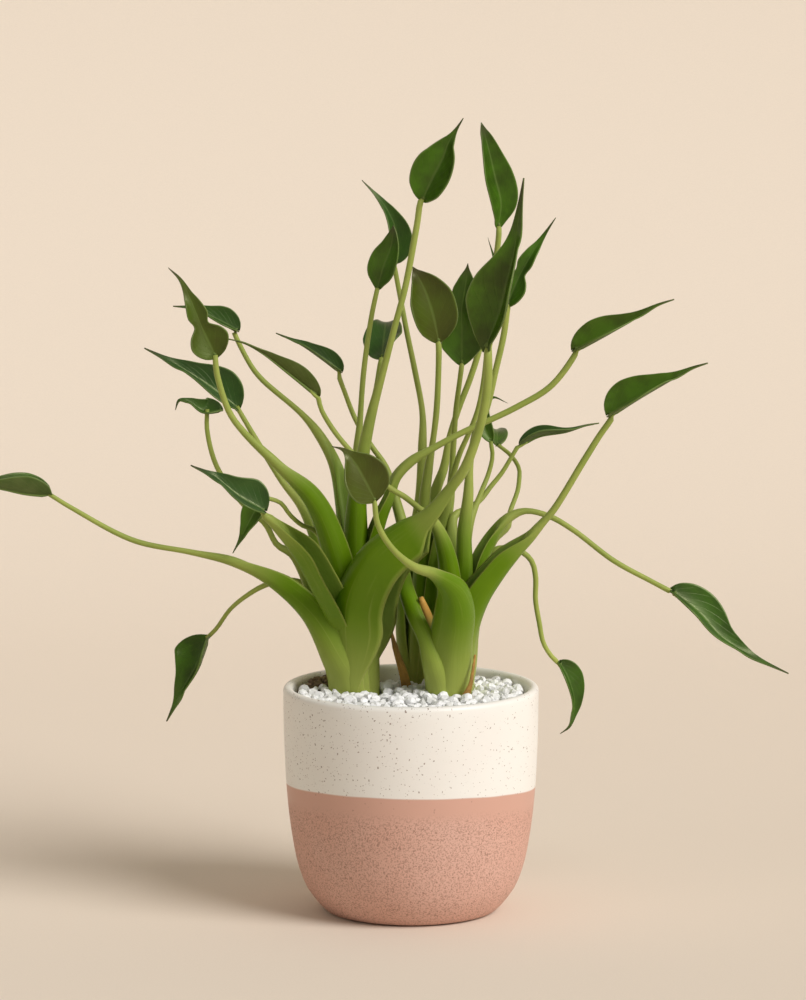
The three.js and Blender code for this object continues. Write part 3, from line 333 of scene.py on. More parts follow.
class AlocasiaPlantSettings(bpy.types.PropertyGroup):
    """Sizes and colours of the leaves and stalks."""

    leaf_dark: colour_property("Leaf, dark", "Dark parts of a blade's upper side", 48, 76, 8)
    leaf_light: colour_property("Leaf, light", "Light parts of a blade's upper side", 66, 108, 12)
    leaf_olive: colour_property("Leaf, olive", "An old blade's colour", 68, 68, 16)
    leaf_cool: colour_property("Leaf, cool", "A dark cool blade's colour", 36, 66, 34)
    leaf_under: colour_property("Leaf, underside", "Matt underside of a blade", 92, 108, 58)
    leaf_rib: colour_property("Leaf, rib", "The midrib and the thin margin", 112, 134, 68)
    leaf_tail: colour_property("Leaf, tail", "The dark tip of the long tail", 58, 48, 38)
    stalk: colour_property("Stalk", "Round upper part of a stalk", 154, 166, 82)
    sheath: colour_property("Sheath", "Open sheath that wraps the shoot", 96, 130, 4)
    sheath_inner: colour_property("Sheath, inside", "Pale inner side of a sheath", 132, 154, 76)
    foot: colour_property("Foot", "Pale foot of the sheaths at the stones", 172, 182, 92)
    sheath_margin: colour_property("Sheath margin", "Thin dry margin of a sheath", 182, 180, 104)
    dry: colour_property("Dry sheath", "Old papery sheath", 198, 152, 74)
    blade_thickness: length_property("Blade thickness", "Thickness of a leaf blade", 0.7)
    blade_rows: IntProperty(name="Blade rows", description="Faces along a blade", default=48, min=12)
    blade_columns: IntProperty(name="Blade columns", description="Faces across a blade", default=20, min=8)
    ring_step: length_property("Ring step", "Distance between the rings of a stalk", 3.2)


class AlocasiaPotSettings(bpy.types.PropertyGroup):
    """Sizes and colours of the pot."""

    cream: colour_property("Cream glaze", "Upper part of the pot", 239, 238, 232)
    pink: colour_property("Pink body", "Lower part of the pot", 214, 168, 150)
    speck: colour_property("Specks", "Iron specks in the clay", 112, 84, 66)
    colour_line: length_property("Colour line", "Height of the cream glaze's edge", COLOUR_LINE)
    turns: IntProperty(name="Turns", description="Faces round the pot", default=96, min=24)


class AlocasiaMixSettings(bpy.types.PropertyGroup):
    """Sizes and colours of the potting mix and the stones."""

    bark: colour_property("Bark", "Bark and peat", 160, 138, 110)
    stone: colour_property("Stone", "White marble chips", 252, 253, 254)
    stone_size: length_property("Stone size", "Mean size of a marble chip", 5.6)
    bark_size: length_property("Bark size", "Mean size of a piece of bark", 8.0)


class AlocasiaStageSettings(bpy.types.PropertyGroup):
    """Backdrop and light."""

    backdrop: colour_property("Backdrop", "Paper sweep behind and under the plant", 233, 221, 205)
    key_strength: FloatProperty(name="Key light", description="Strength of the large soft light",
                                default=2.78, min=0)
    fill_power: FloatProperty(name="Fill light", description="Power of the weak second light",
                              subtype="POWER", unit="POWER", default=2.5, min=0)
    sky: FloatProperty(name="Room light", description="Strength of the even light of the room",
                       default=0.27, min=0)


SETTINGS = (
    ("alocasia_plant", AlocasiaPlantSettings),
    ("alocasia_pot", AlocasiaPotSettings),
    ("alocasia_mix", AlocasiaMixSettings),
    ("alocasia_stage", AlocasiaStageSettings),
)


class SmoothPath:
    """A smooth curve through points of four numbers: a place and one more value."""

    SAMPLES = 24

    def __init__(self, points):
        self.points = [Vector((*p, 0)) if len(p) == 3 else Vector(p) for p in points]
        self.spans = len(self.points) - 1
        self.steps = [0.0]
        before = self.at(0)
        for k in range(1, self.spans * self.SAMPLES + 1):
            here = self.at(k / self.SAMPLES)
            self.steps.append(self.steps[-1] + (here.xyz - before.xyz).length)
            before = here
        self.length = self.steps[-1]

    def at(self, t):
        """The point at t, counted in spans."""
        k = min(int(t), self.spans - 1)
        w = t - k
        p = self.points
        p1, p2 = p[k], p[k + 1]
        p0 = p[k - 1] if k else 2 * p1 - p2
        p3 = p[k + 2] if k + 2 <= self.spans else 2 * p2 - p1
        pairs = ((p0, p1), (p1, p2), (p2, p3))
        d0, d1, d2 = (math.sqrt(max((b.xyz - a.xyz).length, 1e-9)) for a, b in pairs)
        m1 = ((p1 - p0) / d0 - (p2 - p0) / (d0 + d1) + (p2 - p1) / d1) * d1
        m2 = ((p2 - p1) / d1 - (p3 - p1) / (d1 + d2) + (p3 - p2) / d2) * d1
        bend = -3 * p1 + 3 * p2 - 2 * m1 - m2
        return p1 + m1 * w + bend * w ** 2 + (2 * p1 - 2 * p2 + m1 + m2) * w ** 3

    def ahead(self, t):
        """The way that the curve runs at t."""
        small = 0.01
        low = max(t - small, 0)
        high = min(t + small, self.spans)
        return (self.at(high).xyz - self.at(low).xyz).normalized()

    def span_at(self, share):
        """t at a share of the length."""
        goal = share * self.length
        k = 1
        while k < len(self.steps) - 1 and self.steps[k] < goal:
            k += 1
        low, high = self.steps[k - 1], self.steps[k]
        return (k - 1 + (goal - low) / max(high - low, 1e-9)) / self.SAMPLES


def smooth(value, low, high):
    """0 below low, 1 above high, and a soft step between."""
    t = min(1.0, max(0.0, (value - low) / (high - low)))
    return t * t * (3 - 2 * t)


def mix_numbers(a, b, t):
    """The number that lies at t between a and b."""
    return a + (b - a) * t


class Finish:
    """A node tree of a material or a group, with short ways to add and join its nodes."""

    def __init__(self, tree):
        self.tree = tree

    def put(self, target, value):
        """Joins an output to a socket, or sets the socket to a value."""
        if isinstance(value, bpy.types.NodeSocket):
            self.tree.links.new(value, target)
        elif value is not None:
            target.default_value = value

    def dress(self, node, inputs):
        """Joins or sets several sockets of a node."""
        for key, value in inputs.items():
            self.put(node.inputs[key], value)

    def node(self, kind, inputs=None, **settings):
        """A new node with its settings and inputs."""
        made = self.tree.nodes.new(kind)
        for key, value in settings.items():
            setattr(made, key, value)
        self.dress(made, inputs or {})
        return made

    def sum(self, operation, a, b=None, c=None):
        """One step of arithmetic on numbers."""
        return self.node("ShaderNodeMath", {0: a, 1: b, 2: c}, operation=operation).outputs[0]

    def blend(self, share, a, b):
        """Colour a where share is 0, and colour b where it is 1."""
        made = self.node("ShaderNodeMix", {"Factor": share, 6: a, 7: b}, data_type="RGBA")
        return made.outputs[2]

    def lay(self, colour, other, mask, share):
        """Another colour laid over the first where the mask is, at a share of its strength."""
        return self.blend(self.sum("MULTIPLY", mask, share), colour, other)

    def step(self, value, low, high, to_low=0.0, to_high=1.0):
        """A soft step from to_low to to_high as the value passes from low to high."""
        made = self.node("ShaderNodeMapRange", {0: value, 1: low, 2: high, 3: to_low, 4: to_high},
                         interpolation_type="SMOOTHSTEP")
        return made.outputs[0]

    def noise(self, vector, scale, detail=2.0, roughness=0.5):
        """Soft noise from 0 to 1."""
        return self.node("ShaderNodeTexNoise", {"Vector": vector, "Scale": scale, "Detail": detail,
                                                "Roughness": roughness}).outputs[0]

    def place(self, name="Object"):
        """Where a point lies in the object or on its UV map."""
        return self.node("ShaderNodeTexCoord").outputs[name]

    def parts(self, vector):
        """The three numbers of a vector."""
        return self.node("ShaderNodeSeparateXYZ", {0: vector}).outputs

    def kept(self, name):
        """A number that the mesh keeps at each vertex."""
        return self.node("ShaderNodeAttribute", attribute_name=name).outputs["Fac"]

    def group(self, name, inputs):
        """A shared effect, with its outputs by name."""
        tree = bpy.data.node_groups.get(name) or EFFECTS[name]()
        return self.node("ShaderNodeGroup", inputs, node_tree=tree).outputs

    def bump(self, height, strength, distance):
        """Relief for a Normal socket."""
        return self.node("ShaderNodeBump", {"Height": height, "Strength": strength,
                                            "Distance": distance}).outputs[0]


def new_material(name):
    """An empty material: its tree and its main shader."""
    material = bpy.data.materials.new(name)
    material.use_nodes = True
    return material, Finish(material.node_tree), material.node_tree.nodes["Principled BSDF"]


def new_effect(name, inputs, outputs):
    """An empty group with named sockets: its tree and its two ends."""
    tree = bpy.data.node_groups.new(name, "ShaderNodeTree")
    kinds = {"v": "NodeSocketVector", "f": "NodeSocketFloat"}
    for key, kind, default in inputs:
        socket = tree.interface.new_socket(key, in_out="INPUT", socket_type=kinds[kind])
        if default is not None:
            socket.default_value = default
    for key in outputs:
        tree.interface.new_socket(key, in_out="OUTPUT", socket_type="NodeSocketFloat")
    finish = Finish(tree)
    return tree, finish, finish.node("NodeGroupInput").outputs, finish.node("NodeGroupOutput").inputs


def mottle_effect():
    """Soft patches and a fine grain, both from 0 to 1."""
    tree, finish, given, result = new_effect(
        "mottle", (("Vector", "v", None), ("Patch Scale", "f", 60.0), ("Grain Scale", "f", 900.0)),
        ("Patches", "Grain"),
    )
    patches = finish.noise(given["Vector"], given["Patch Scale"], 3.0, 0.55)
    finish.put(result["Patches"], finish.step(patches, 0.32, 0.68))
    finish.put(result["Grain"], finish.noise(given["Vector"], given["Grain Scale"], 2.0, 0.6))
    return tree


def specks_effect():
    """Round specks of uneven size: Share is how much of the surface they take."""
    tree, finish, given, result = new_effect(
        "specks", (("Vector", "v", None), ("Scale", "f", 300.0), ("Share", "f", 0.2)), ("Mask",),
    )
    cells = finish.node("ShaderNodeTexVoronoi", {"Vector": given["Vector"], "Scale": given["Scale"]})
    lot = finish.node("ShaderNodeSeparateColor", {0: cells.outputs["Color"]})
    reach = finish.sum("MULTIPLY", lot.outputs[1], 0.34)
    inside = finish.step(finish.sum("SUBTRACT", cells.outputs["Distance"], reach), -0.04, 0.04, 1.0, 0.0)
    chosen = finish.sum("LESS_THAN", lot.outputs[0], given["Share"])
    finish.put(result["Mask"], finish.sum("MULTIPLY", inside, chosen))
    return tree


def lengthwise_effect():
    """Fine parallel nerves along a stalk or sheath, from its UV map."""
    tree, finish, given, result = new_effect(
        "lengthwise_nerves", (("UV", "v", None), ("Count", "f", 60.0)), ("Nerves",),
    )
    parts = finish.parts(given["UV"])
    across = finish.sum("MULTIPLY", parts[0], given["Count"])
    along = finish.sum("MULTIPLY", parts[1], 2.5)
    place = finish.node("ShaderNodeCombineXYZ", {0: across, 1: along}).outputs[0]
    finish.put(result["Nerves"], finish.noise(place, 1.0, 2.0, 0.6))
    return tree


EFFECTS = {"mottle": mottle_effect, "specks": specks_effect, "lengthwise_nerves": lengthwise_effect}


def blade_lines(finish):
    """Masks on a blade from its UV map: rib, margin, side nerves and tail."""
    uv = finish.parts(finish.place("UV"))
    side = finish.sum("MULTIPLY", finish.sum("ABSOLUTE", finish.sum("SUBTRACT", uv[0], 0.5)), 2.0)
    rib = finish.step(side, 0.015, 0.085, 1.0, 0.0)
    margin = finish.step(side, 0.955, 0.985)
    tail = finish.step(uv[1], 0.78, 1.0)
    # Side nerves leave the rib and curve up along the margin
    curve = finish.sum("MULTIPLY", finish.sum("POWER", side, 0.75), 0.42)
    phase = finish.sum("MULTIPLY", finish.sum("SUBTRACT", uv[1], curve), 9.0)
    wave = finish.sum("ABSOLUTE", finish.sum("SINE", finish.sum("MULTIPLY", phase, math.pi)))
    nerves = finish.sum("MULTIPLY", finish.step(wave, 0.0, 0.16, 1.0, 0.0),
                        finish.step(side, 0.8, 0.97, 1.0, 0.0))
    return rib, margin, nerves, tail


# A leaf's wax lets less blue through than white light has
CUTICLE = (0.96, 1.0, 0.6, 1.0)


def toned(finish, colour, colours, most):
    """A blade's colour, pulled to olive or to cool green by the leaf's own tone."""
    tone = finish.kept("tone")
    colour = finish.blend(finish.step(tone, 0.0, 0.5, most, 0.0), colour, colours.leaf_olive)
    return finish.blend(finish.step(tone, 0.5, 1.0, 0.0, most), colour, colours.leaf_cool)


def blade_top_material(colours):
    """Glossy dark green upper side of a leaf blade."""
    material, finish, shader = new_material("alocasia_blade_top")
    rib, margin, nerves, tail = blade_lines(finish)
    mottle = finish.group("mottle", {"Vector": finish.place(), "Patch Scale": 70.0, "Grain Scale": 1400.0})
    colour = finish.blend(mottle["Patches"], colours.leaf_dark, colours.leaf_light)
    colour = toned(finish, colour, colours, 0.75)
    colour = finish.lay(colour, colours.leaf_rib, nerves, 0.12)
    colour = finish.lay(colour, colours.leaf_rib, rib, 0.28)
    colour = finish.lay(colour, colours.leaf_tail, tail, 0.75)
    colour = finish.lay(colour, colours.leaf_rib, margin, 0.5)
    height = finish.sum("SUBTRACT", finish.sum("MULTIPLY", mottle["Grain"], 0.25), nerves)
    finish.dress(shader, {
        "Base Color": colour,
        "Roughness": finish.step(mottle["Grain"], 0.3, 0.7, 0.3, 0.42),
        "Specular IOR Level": 0.5,
        "Specular Tint": CUTICLE,
        "Normal": finish.bump(height, 0.35, 0.0003),
    })
    return material


def blade_under_material(colours):
    """Matt grey-green underside of a leaf blade, with raised nerves."""
    material, finish, shader = new_material("alocasia_blade_under")
    rib, margin, nerves, tail = blade_lines(finish)
    mottle = finish.group("mottle", {"Vector": finish.place(), "Patch Scale": 90.0, "Grain Scale": 1600.0})
    colour = finish.blend(mottle["Patches"], colours.leaf_under, colours.leaf_dark)
    colour = toned(finish, finish.blend(0.45, colour, colours.leaf_under), colours, 0.4)
    colour = finish.lay(colour, colours.leaf_rib, nerves, 0.3)
    colour = finish.lay(colour, colours.leaf_rib, rib, 0.6)
    colour = finish.lay(colour, colours.leaf_tail, tail, 0.7)
    colour = finish.lay(colour, colours.leaf_rib, margin, 0.5)
    finish.dress(shader, {
        "Base Color": colour,
        "Roughness": 0.58,
        "Specular IOR Level": 0.3,
        "Specular Tint": CUTICLE,
        "Normal": finish.bump(finish.sum("ADD", nerves, mottle["Grain"]), 0.3, 0.0003),
    })
    return material


# What a stalk's mesh keeps at each vertex for its material
STALK_VALUES = ("sheath", "thin", "inner", "withered")


def stalk_material(colours):
    """Yellow-green stalk that turns vivid green in the sheath and pale at its foot."""
    material, finish, shader = new_material("alocasia_stalk")
    place = finish.place()
    height = finish.parts(place)[2]
    sheath, thin, inner, withered = (finish.kept(name) for name in STALK_VALUES)
    mottle = finish.group("mottle", {"Vector": place, "Patch Scale": 45.0, "Grain Scale": 1100.0})
    nerves = finish.group("lengthwise_nerves", {"UV": finish.place("UV"), "Count": 60.0})["Nerves"]
    colour = finish.blend(sheath, colours.stalk, colours.sheath)
    darker = finish.blend(0.35, colour, colours.leaf_light)
    colour = finish.lay(colour, darker, mottle["Patches"], 0.6)
    colour = finish.blend(finish.step(nerves, 0.55, 0.75, 0.0, 0.3), colour, colours.stalk)
    colour = finish.lay(colour, colours.sheath_inner, inner, 0.6)
    colour = finish.blend(finish.step(height, 0.108, 0.16, 0.85, 0.0), colour, colours.foot)
    colour = finish.lay(colour, colours.sheath_margin, thin, 0.45)
    colour = finish.blend(withered, colour, colours.dry)
    relief = finish.sum("ADD", nerves, finish.sum("MULTIPLY", mottle["Grain"], 0.3))
    finish.dress(shader, {
        "Base Color": colour,
        "Roughness": finish.step(mottle["Grain"], 0.3, 0.7, 0.38, 0.52),
        "Specular IOR Level": 0.3,
        "Specular Tint": CUTICLE,
        "Normal": finish.bump(relief, 0.3, 0.0004),
    })
    return material


def dry_material(colours):
    """Brown papery old sheath with darker nerves."""
    material, finish, shader = new_material("alocasia_dry_sheath")
    mottle = finish.group("mottle", {"Vector": finish.place(), "Patch Scale": 160.0, "Grain Scale": 1500.0})
    nerves = finish.group("lengthwise_nerves", {"UV": finish.place("UV"), "Count": 26.0})["Nerves"]
    dark = finish.blend(0.4, colours.dry, colours.leaf_tail)
    colour = finish.blend(mottle["Patches"], colours.dry, dark)
    colour = finish.blend(finish.step(nerves, 0.5, 0.7, 0.0, 0.5), colour, dark)
    relief = finish.bump(nerves, 0.6, 0.0006)
    finish.dress(shader, {"Base Color": colour, "Roughness": 0.82, "Normal": relief})
    return material


def pot_material(colours):
    """Cream glaze above, dusty pink speckled body below, with a smoother band between."""
    material, finish, shader = new_material("alocasia_pot")
    place = finish.place()
    sideways, depth, height = finish.parts(place)[:3]
    mottle = finish.group("mottle", {"Vector": place, "Patch Scale": 22.0, "Grain Scale": 700.0})
    wander = finish.sum("MULTIPLY", finish.sum("SUBTRACT", finish.noise(place, 28.0, 1.0), 0.5), 0.0012)
    slant = finish.sum("MULTIPLY_ADD", sideways, 0.015, wander)
    slant = finish.sum("MULTIPLY_ADD", depth, 0.072, slant)
    more_left = finish.step(sideways, -0.06, 0.03, 0.16, 0.0)
    above = finish.sum("SUBTRACT", finish.sum("ADD", height, slant), colours.colour_line)
    cream = finish.step(above, -0.0005, 0.0004)
    band = finish.step(above, -0.015, -0.006)
    bent = finish.node("ShaderNodeTexNoise", {"Vector": place, "Scale": 500.0}).outputs["Color"]
    bent = finish.node("ShaderNodeVectorMath", {0: bent, 3: 0.0022}, operation="SCALE").outputs[0]
    bent = finish.node("ShaderNodeVectorMath", {0: place, 1: bent}, operation="ADD").outputs[0]
    few, tiny, dense = (
        finish.group("specks", {"Vector": bent, "Scale": scale, "Share": share})["Mask"]
        for scale, share in ((640.0, finish.sum("ADD", more_left, 0.06)),
                             (1050.0, finish.sum("ADD", more_left, 0.2)), (620.0, 0.7))
    )
    sand = finish.step(finish.noise(place, 1250.0, 2.0, 0.75), 0.5, 0.58)
    pink_dark = finish.blend(0.6, colours.pink, colours.speck)
    pink_pale = finish.blend(0.2, colours.pink, colours.cream)
    matt = finish.lay(colours.pink, pink_pale, mottle["Patches"], 0.3)
    matt = finish.lay(matt, pink_dark, sand, 0.7)
    matt = finish.lay(matt, pink_dark, dense, 0.9)
    satin = finish.lay(finish.blend(0.12, colours.pink, pink_dark), pink_dark, few, 0.6)
    lower = finish.blend(band, matt, satin)
    upper = finish.lay(colours.cream, colours.speck, finish.sum("MAXIMUM", few, tiny), 0.75)
    upper = finish.lay(upper, colours.pink, mottle["Patches"], 0.06)
    rough = finish.sum("SUBTRACT", 0.72, finish.sum("MULTIPLY", band, 0.3))
    # The glaze is a little thicker than the bare body, and the body is sandy
    rough_body = finish.sum("MULTIPLY", finish.sum("SUBTRACT", 1.0, band), mottle["Grain"])
    relief = finish.sum("ADD", finish.sum("MULTIPLY", cream, 0.5), finish.sum("MULTIPLY", rough_body, 0.35))
    finish.dress(shader, {
        "Base Color": finish.blend(cream, lower, upper),
        "Roughness": rough,
        "Normal": finish.bump(relief, 0.35, 0.0006),
    })
    return material


def crumb_material(name, colour, other, rough, patch_scale):
    """A chip's colour, which changes from chip to chip by its tint."""
    material, finish, shader = new_material(name)
    spots = {"Vector": finish.place(), "Patch Scale": patch_scale, "Grain Scale": 2200.0}
    mottle = finish.group("mottle", spots)
    tint = finish.sum("ADD", finish.kept("tint"), finish.sum("MULTIPLY", mottle["Patches"], 0.35))
    finish.dress(shader, {
        "Base Color": finish.lay(colour, other, tint, 0.74),
        "Roughness": rough,
        "Normal": finish.bump(mottle["Grain"], 0.5, 0.0004),
    })
    return material


def keep_piece(bm, name, materials, replaced, flat=False):
    """Turns a mesh in millimetres into a named piece in metres that stands for CAD nodes."""
    bmesh.ops.scale(bm, vec=(MM, MM, MM), verts=bm.verts)
    mesh = bpy.data.meshes.new(name)
    bm.to_mesh(mesh)
    bm.free()
    for material in materials:
        mesh.materials.append(material)
    mesh.polygons.foreach_set("use_smooth", [not flat] * len(mesh.polygons))
    piece = bpy.data.objects.new(name, mesh)
    bpy.context.scene.collection.objects.link(piece)
    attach(piece, ROOT)
    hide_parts(*replaced)


def new_sheet(columns, rows, values=()):
    """A flat sheet with a UV map, and its vertices as (vertex, share across, share along)."""
    bm = bmesh.new()
    bm.loops.layers.uv.new("UVMap")
    for name in values:
        bm.verts.layers.float.new(name)
    bmesh.ops.create_grid(bm, x_segments=columns, y_segments=rows, size=1, calc_uvs=True)
    return bm, [(v, (v.co.x + 1) / 2, (v.co.y + 1) / 2) for v in bm.verts]


def close_tube(bm):
    """Joins the seam of a sheet that was bent into a tube, and closes both ends."""
    bmesh.ops.remove_doubles(bm, verts=bm.verts, dist=1e-5)
    ends = [edge for edge in bm.edges if edge.is_boundary]
    bmesh.ops.holes_fill(bm, edges=ends, sides=0)
    bmesh.ops.recalc_face_normals(bm, faces=bm.faces)


# Where the points of a sheath's cross section lie, as shares of the way from its back to a margin
OUTER_SHARES = (0, 0.1, 0.22, 0.36, 0.5, 0.64, 0.76, 0.857, 0.9, 0.94, 0.975, 1)
INNER_SHARES = (0.985, 0.95, 0.9, 0.8, 0.62, 0.42, 0.2, 0)
SECTION_SHARES = (
    *(-share for share in reversed(OUTER_SHARES[1:])), *OUTER_SHARES,
    *INNER_SHARES, *(-share for share in reversed(INNER_SHARES[:-1])),
)
OUTER_COUNT = 2 * len(OUTER_SHARES) - 1
MARGIN_WIDTH = 0.55

# A stalk's end closer to its blade than this is joined to it
JOINT_LEAST = 0.4
JOINT_MOST = 4.5


def stalk_section(radius, wing):
    """Cross section of a stalk, a round rod or an open sheath: (x, y, margin, inner side)."""
    open_share = smooth(radius, SHEATH_STARTS, SHEATH_FULL)
    stretch = 1 - wing / (radius * math.cos(math.radians(SHEATH_WRAP)))
    wall = min(2.6, max(1.5, 0.34 * radius))
    count = len(SECTION_SHARES)
    margin_place = None
    points = []
    for i, share in enumerate(SECTION_SHARES):
        shell = math.radians(share * SHEATH_WRAP)
        reach = radius * (1 + 0.03 * math.exp(-(share / 0.09) ** 2))
        if i >= OUTER_COUNT:
            reach = radius - wall * smooth(1 - abs(share), 0, 0.45) - 0.3
        depth = reach * math.cos(shell)
        place = (reach * math.sin(shell), depth * stretch if depth < 0 else depth)
        if margin_place is None:
            margin_place = place
        edge = math.hypot(abs(place[0]) - abs(margin_place[0]), place[1] - margin_place[1])
        rod = math.radians(-90 + 360 * i / count)
        points.append((
            mix_numbers(radius * math.sin(rod), place[0], open_share),
            mix_numbers(radius * math.cos(rod), place[1], open_share),
            open_share * (1 - smooth(edge, 0.3 * MARGIN_WIDTH, MARGIN_WIDTH)),
            open_share * (i >= OUTER_COUNT),
        ))
    return points, open_share


# Where the scale leaf's tip withers, as shares of its length
WITHERED_TIP = (0.72, 0.88)


def blade_frame(leaf, path, share):
    """On a blade's midrib, at a share of its length: the place, ahead, up and sideways."""
    t = path.span_at(share)
    ahead = path.ahead(t)
    face = Vector(leaf.open)
    up = (face - ahead * face.dot(ahead)).normalized()
    return path.at(t).xyz, ahead, up, ahead.cross(up)


def stalk_beyond(leaf):
    """Where a stalk that nearly meets its blade runs on under it, as two more points."""
    if not leaf.rib:
        return ()
    end, radius = Vector(leaf.stalk[-1][:3]), leaf.stalk[-1][3]
    rib = SmoothPath(leaf.rib)
    if not JOINT_LEAST < (rib.at(0).xyz - end).length < JOINT_MOST:
        return ()
    points = []
    for share, part in ((0.0, 0.85), (0.07, 0.5)):
        place, _, up, _ = blade_frame(leaf, rib, share)
        points.append((*(place - up * (part * radius + MIDRIB_DEPTH)), part * radius))
    return points


def build_stalk(leaf, settings, material):
    """One stalk with its sheath, from the foot to the blade."""
    x, y, z, radius = leaf.stalk[0]
    axis = SHOOT_AXES[leaf.shoot]
    below = ((*axis, FOOT_BOTTOM, radius),) if z > FOOT_TOP else ()
    path = SmoothPath((*below, *leaf.stalk, *stalk_beyond(leaf)))
    rows = max(12, round(path.length * MM / settings.ring_step))
    turn = math.radians(leaf.faces)
    across = Vector((-math.sin(turn), math.cos(turn), 0))
    count = len(SECTION_SHARES)
    bm, verts = new_sheet(count, rows, STALK_VALUES)
    layers = [bm.verts.layers.float[key] for key in STALK_VALUES]
    rings = []
    for row in range(rows + 1):
        t = path.span_at(row / rows)
        here = path.at(t)
        ahead = path.ahead(t)
        side = (across - ahead * across.dot(ahead)).normalized()
        outward = side.cross(ahead)
        spread = leaf.wing * smooth(here.z, WING_STARTS, WING_FULL)
        points, open_share = stalk_section(max(here.w, 0.8), spread)
        withered = 0 if leaf.rib else smooth(row / rows, *WITHERED_TIP)
        rings.append([(here.xyz + side * x + outward * y, (open_share, thin, inner, withered))
                      for x, y, thin, inner in points])
    for vert, u, v in verts:
        vert.co, values = rings[round(v * rows)][round(u * count) % count]
        for layer, value in zip(layers, values):
            vert[layer] = value
    close_tube(bm)
    name = leaf.name.replace("blade", "stalk")
    keep_piece(bm, name, [material], [leaf.shoot + "_shoot"])


def outline_function(points):
    """A smooth outline through (share of the length, share of the width) points."""
    def width(s):
        k = 0
        while k < len(points) - 2 and points[k + 1][0] < s:
            k += 1
        (x1, y1), (x2, y2) = points[k], points[k + 1]
        x0, y0 = points[k - 1] if k else points[0]
        x3, y3 = points[k + 2] if k + 2 < len(points) else points[-1]
        slope1 = (y2 - y0) / max(x2 - x0, 1e-6)
        slope2 = (y3 - y1) / max(x3 - x1, 1e-6)
        step = x2 - x1
        w = (s - x1) / step
        return ((2 * w ** 3 - 3 * w ** 2 + 1) * y1 + (w ** 3 - 2 * w ** 2 + w) * step * slope1
                + (3 * w ** 2 - 2 * w ** 3) * y2 + (w ** 3 - w ** 2) * step * slope2)
    return width


OUTLINE_PATHS = {form: outline_function(points) for form, points in OUTLINES.items()}


def build_blade(leaf, settings, materials):
    """One folded, cupped blade with its midrib underneath."""
    path = SmoothPath(leaf.rib)
    columns, rows = settings.blade_columns, settings.blade_rows
    width, fold = leaf.width, leaf.fold
    wave = random.Random(leaf.name)
    phases = [wave.uniform(0, math.tau) for _ in range(2)]
    lines = []
    for row in range(rows + 1):
        s = (row / rows) ** 1.15
        centre, ahead, up, side = blade_frame(leaf, path, s)
        breadth = max(0.01, OUTLINE_PATHS[leaf.form](s))
        tail = smooth(breadth, 0.06, 0.4)
        lobe = LOBE_LENGTH * path.length * max(0, 1 - s / LOBE_REACH) ** 2
        # Each half is walked from the rib to its margin, turning up a little more at each step
        halves = {0: (0.0, 0.0)}
        out = rise = 0.0
        steps = columns // 2
        for k in range(1, steps + 1):
            u = (k - 0.5) / steps
            angle = math.radians((fold + CUP * (u - 0.5) * 1.3) * tail)
            out += breadth * width / steps * math.cos(angle)
            rise += breadth * width / steps * math.sin(angle)
            halves[k] = (out, rise)
        line = []
        for column in range(columns + 1):
            k = column - steps
            out, rise = halves[abs(k)]
            u = k / steps
            ripple = 0.35 * tail * u * u * math.sin(phases[k > 0] + 11 * s) * width / 12
            sign = 1 if k > 0 else -1
            back = ahead * (lobe * abs(u) ** 1.5)
            line.append(centre + side * (out * sign) + up * (rise + ripple) - back)
        lines.append((line, up))
    bm, verts = new_sheet(columns, rows, ("tone",))
    tone_layer = bm.verts.layers.float["tone"]
    for vert, u, v in verts:
        vert.co = lines[round(v * rows)][0][round(u * columns)]
        vert[tone_layer] = leaf.tone
    uv_layer = bm.loops.layers.uv.active
    bm.normal_update()
    bmesh.ops.solidify(bm, geom=bm.faces[:], thickness=settings.blade_thickness / MM)
    bmesh.ops.recalc_face_normals(bm, faces=bm.faces)
    bm.normal_update()
    for one in bm.faces:
        along = sum(loop[uv_layer].uv.y for loop in one.loops) / len(one.loops)
        one.material_index = 0 if one.normal.dot(lines[min(rows, round(along * rows))][1]) > 0 else 1
    add_midrib(bm, leaf, path)
    keep_piece(bm, leaf.name + "_leaf", materials, [leaf.name])


MIDRIB_SIDES = 8
MIDRIB_ROWS = 30
MIDRIB_DEPTH = 0.45


def add_midrib(bm, leaf, path):
    """The stalk's end runs on under the blade as a thinning rib."""
    start = leaf.stalk[-1][3]
    rib, verts = new_sheet(MIDRIB_SIDES, MIDRIB_ROWS, ("tone",))
    tone_layer = rib.verts.layers.float["tone"]
    for vert, u, v in verts:
        vert[tone_layer] = leaf.tone
        place, _, up, side = blade_frame(leaf, path, 0.93 * v)
        radius = mix_numbers(0.8 * start, 0.25, v ** 0.6)
        turn = u * math.tau
        sunk = MIDRIB_DEPTH * smooth(v, 0, 0.06) + radius * mix_numbers(0.3, 1, smooth(v, 0, 0.06))
        middle = place - up * sunk
        vert.co = middle + side * (radius * math.cos(turn)) + up * (radius * math.sin(turn))
    close_tube(rib)
    uv_layer = rib.loops.layers.uv.active
    for one in rib.faces:
        one.material_index = 1
        for loop in one.loops:
            loop[uv_layer].uv.x = 0.5
    mesh = bpy.data.meshes.new("midrib")
    rib.to_mesh(mesh)
    rib.free()
    bm.from_mesh(mesh)
    bpy.data.meshes.remove(mesh)


DRY_SHEATHS = (
    {"name": "dry_sheath_middle", "facing": (0, -1, 0),
     "path": ((-1, 11, 98, 5.5), (-1.5, 10, 108, 5.5), (-3.5, 9, 119, 4.6), (-7.5, 8, 132, 3),
              (-10.5, 7, 144, 1.2))},
    {"name": "dry_sheath_right", "facing": (0.5, -0.87, 0),
     "path": ((26.5, -6, 95, 6), (27, -7, 106, 6.5), (28, -9.5, 112, 4.5), (30, -10.5, 118, 2),
              (31.5, -9, 126, 1.4), (32.3, -8, 133, 0.8))},
)


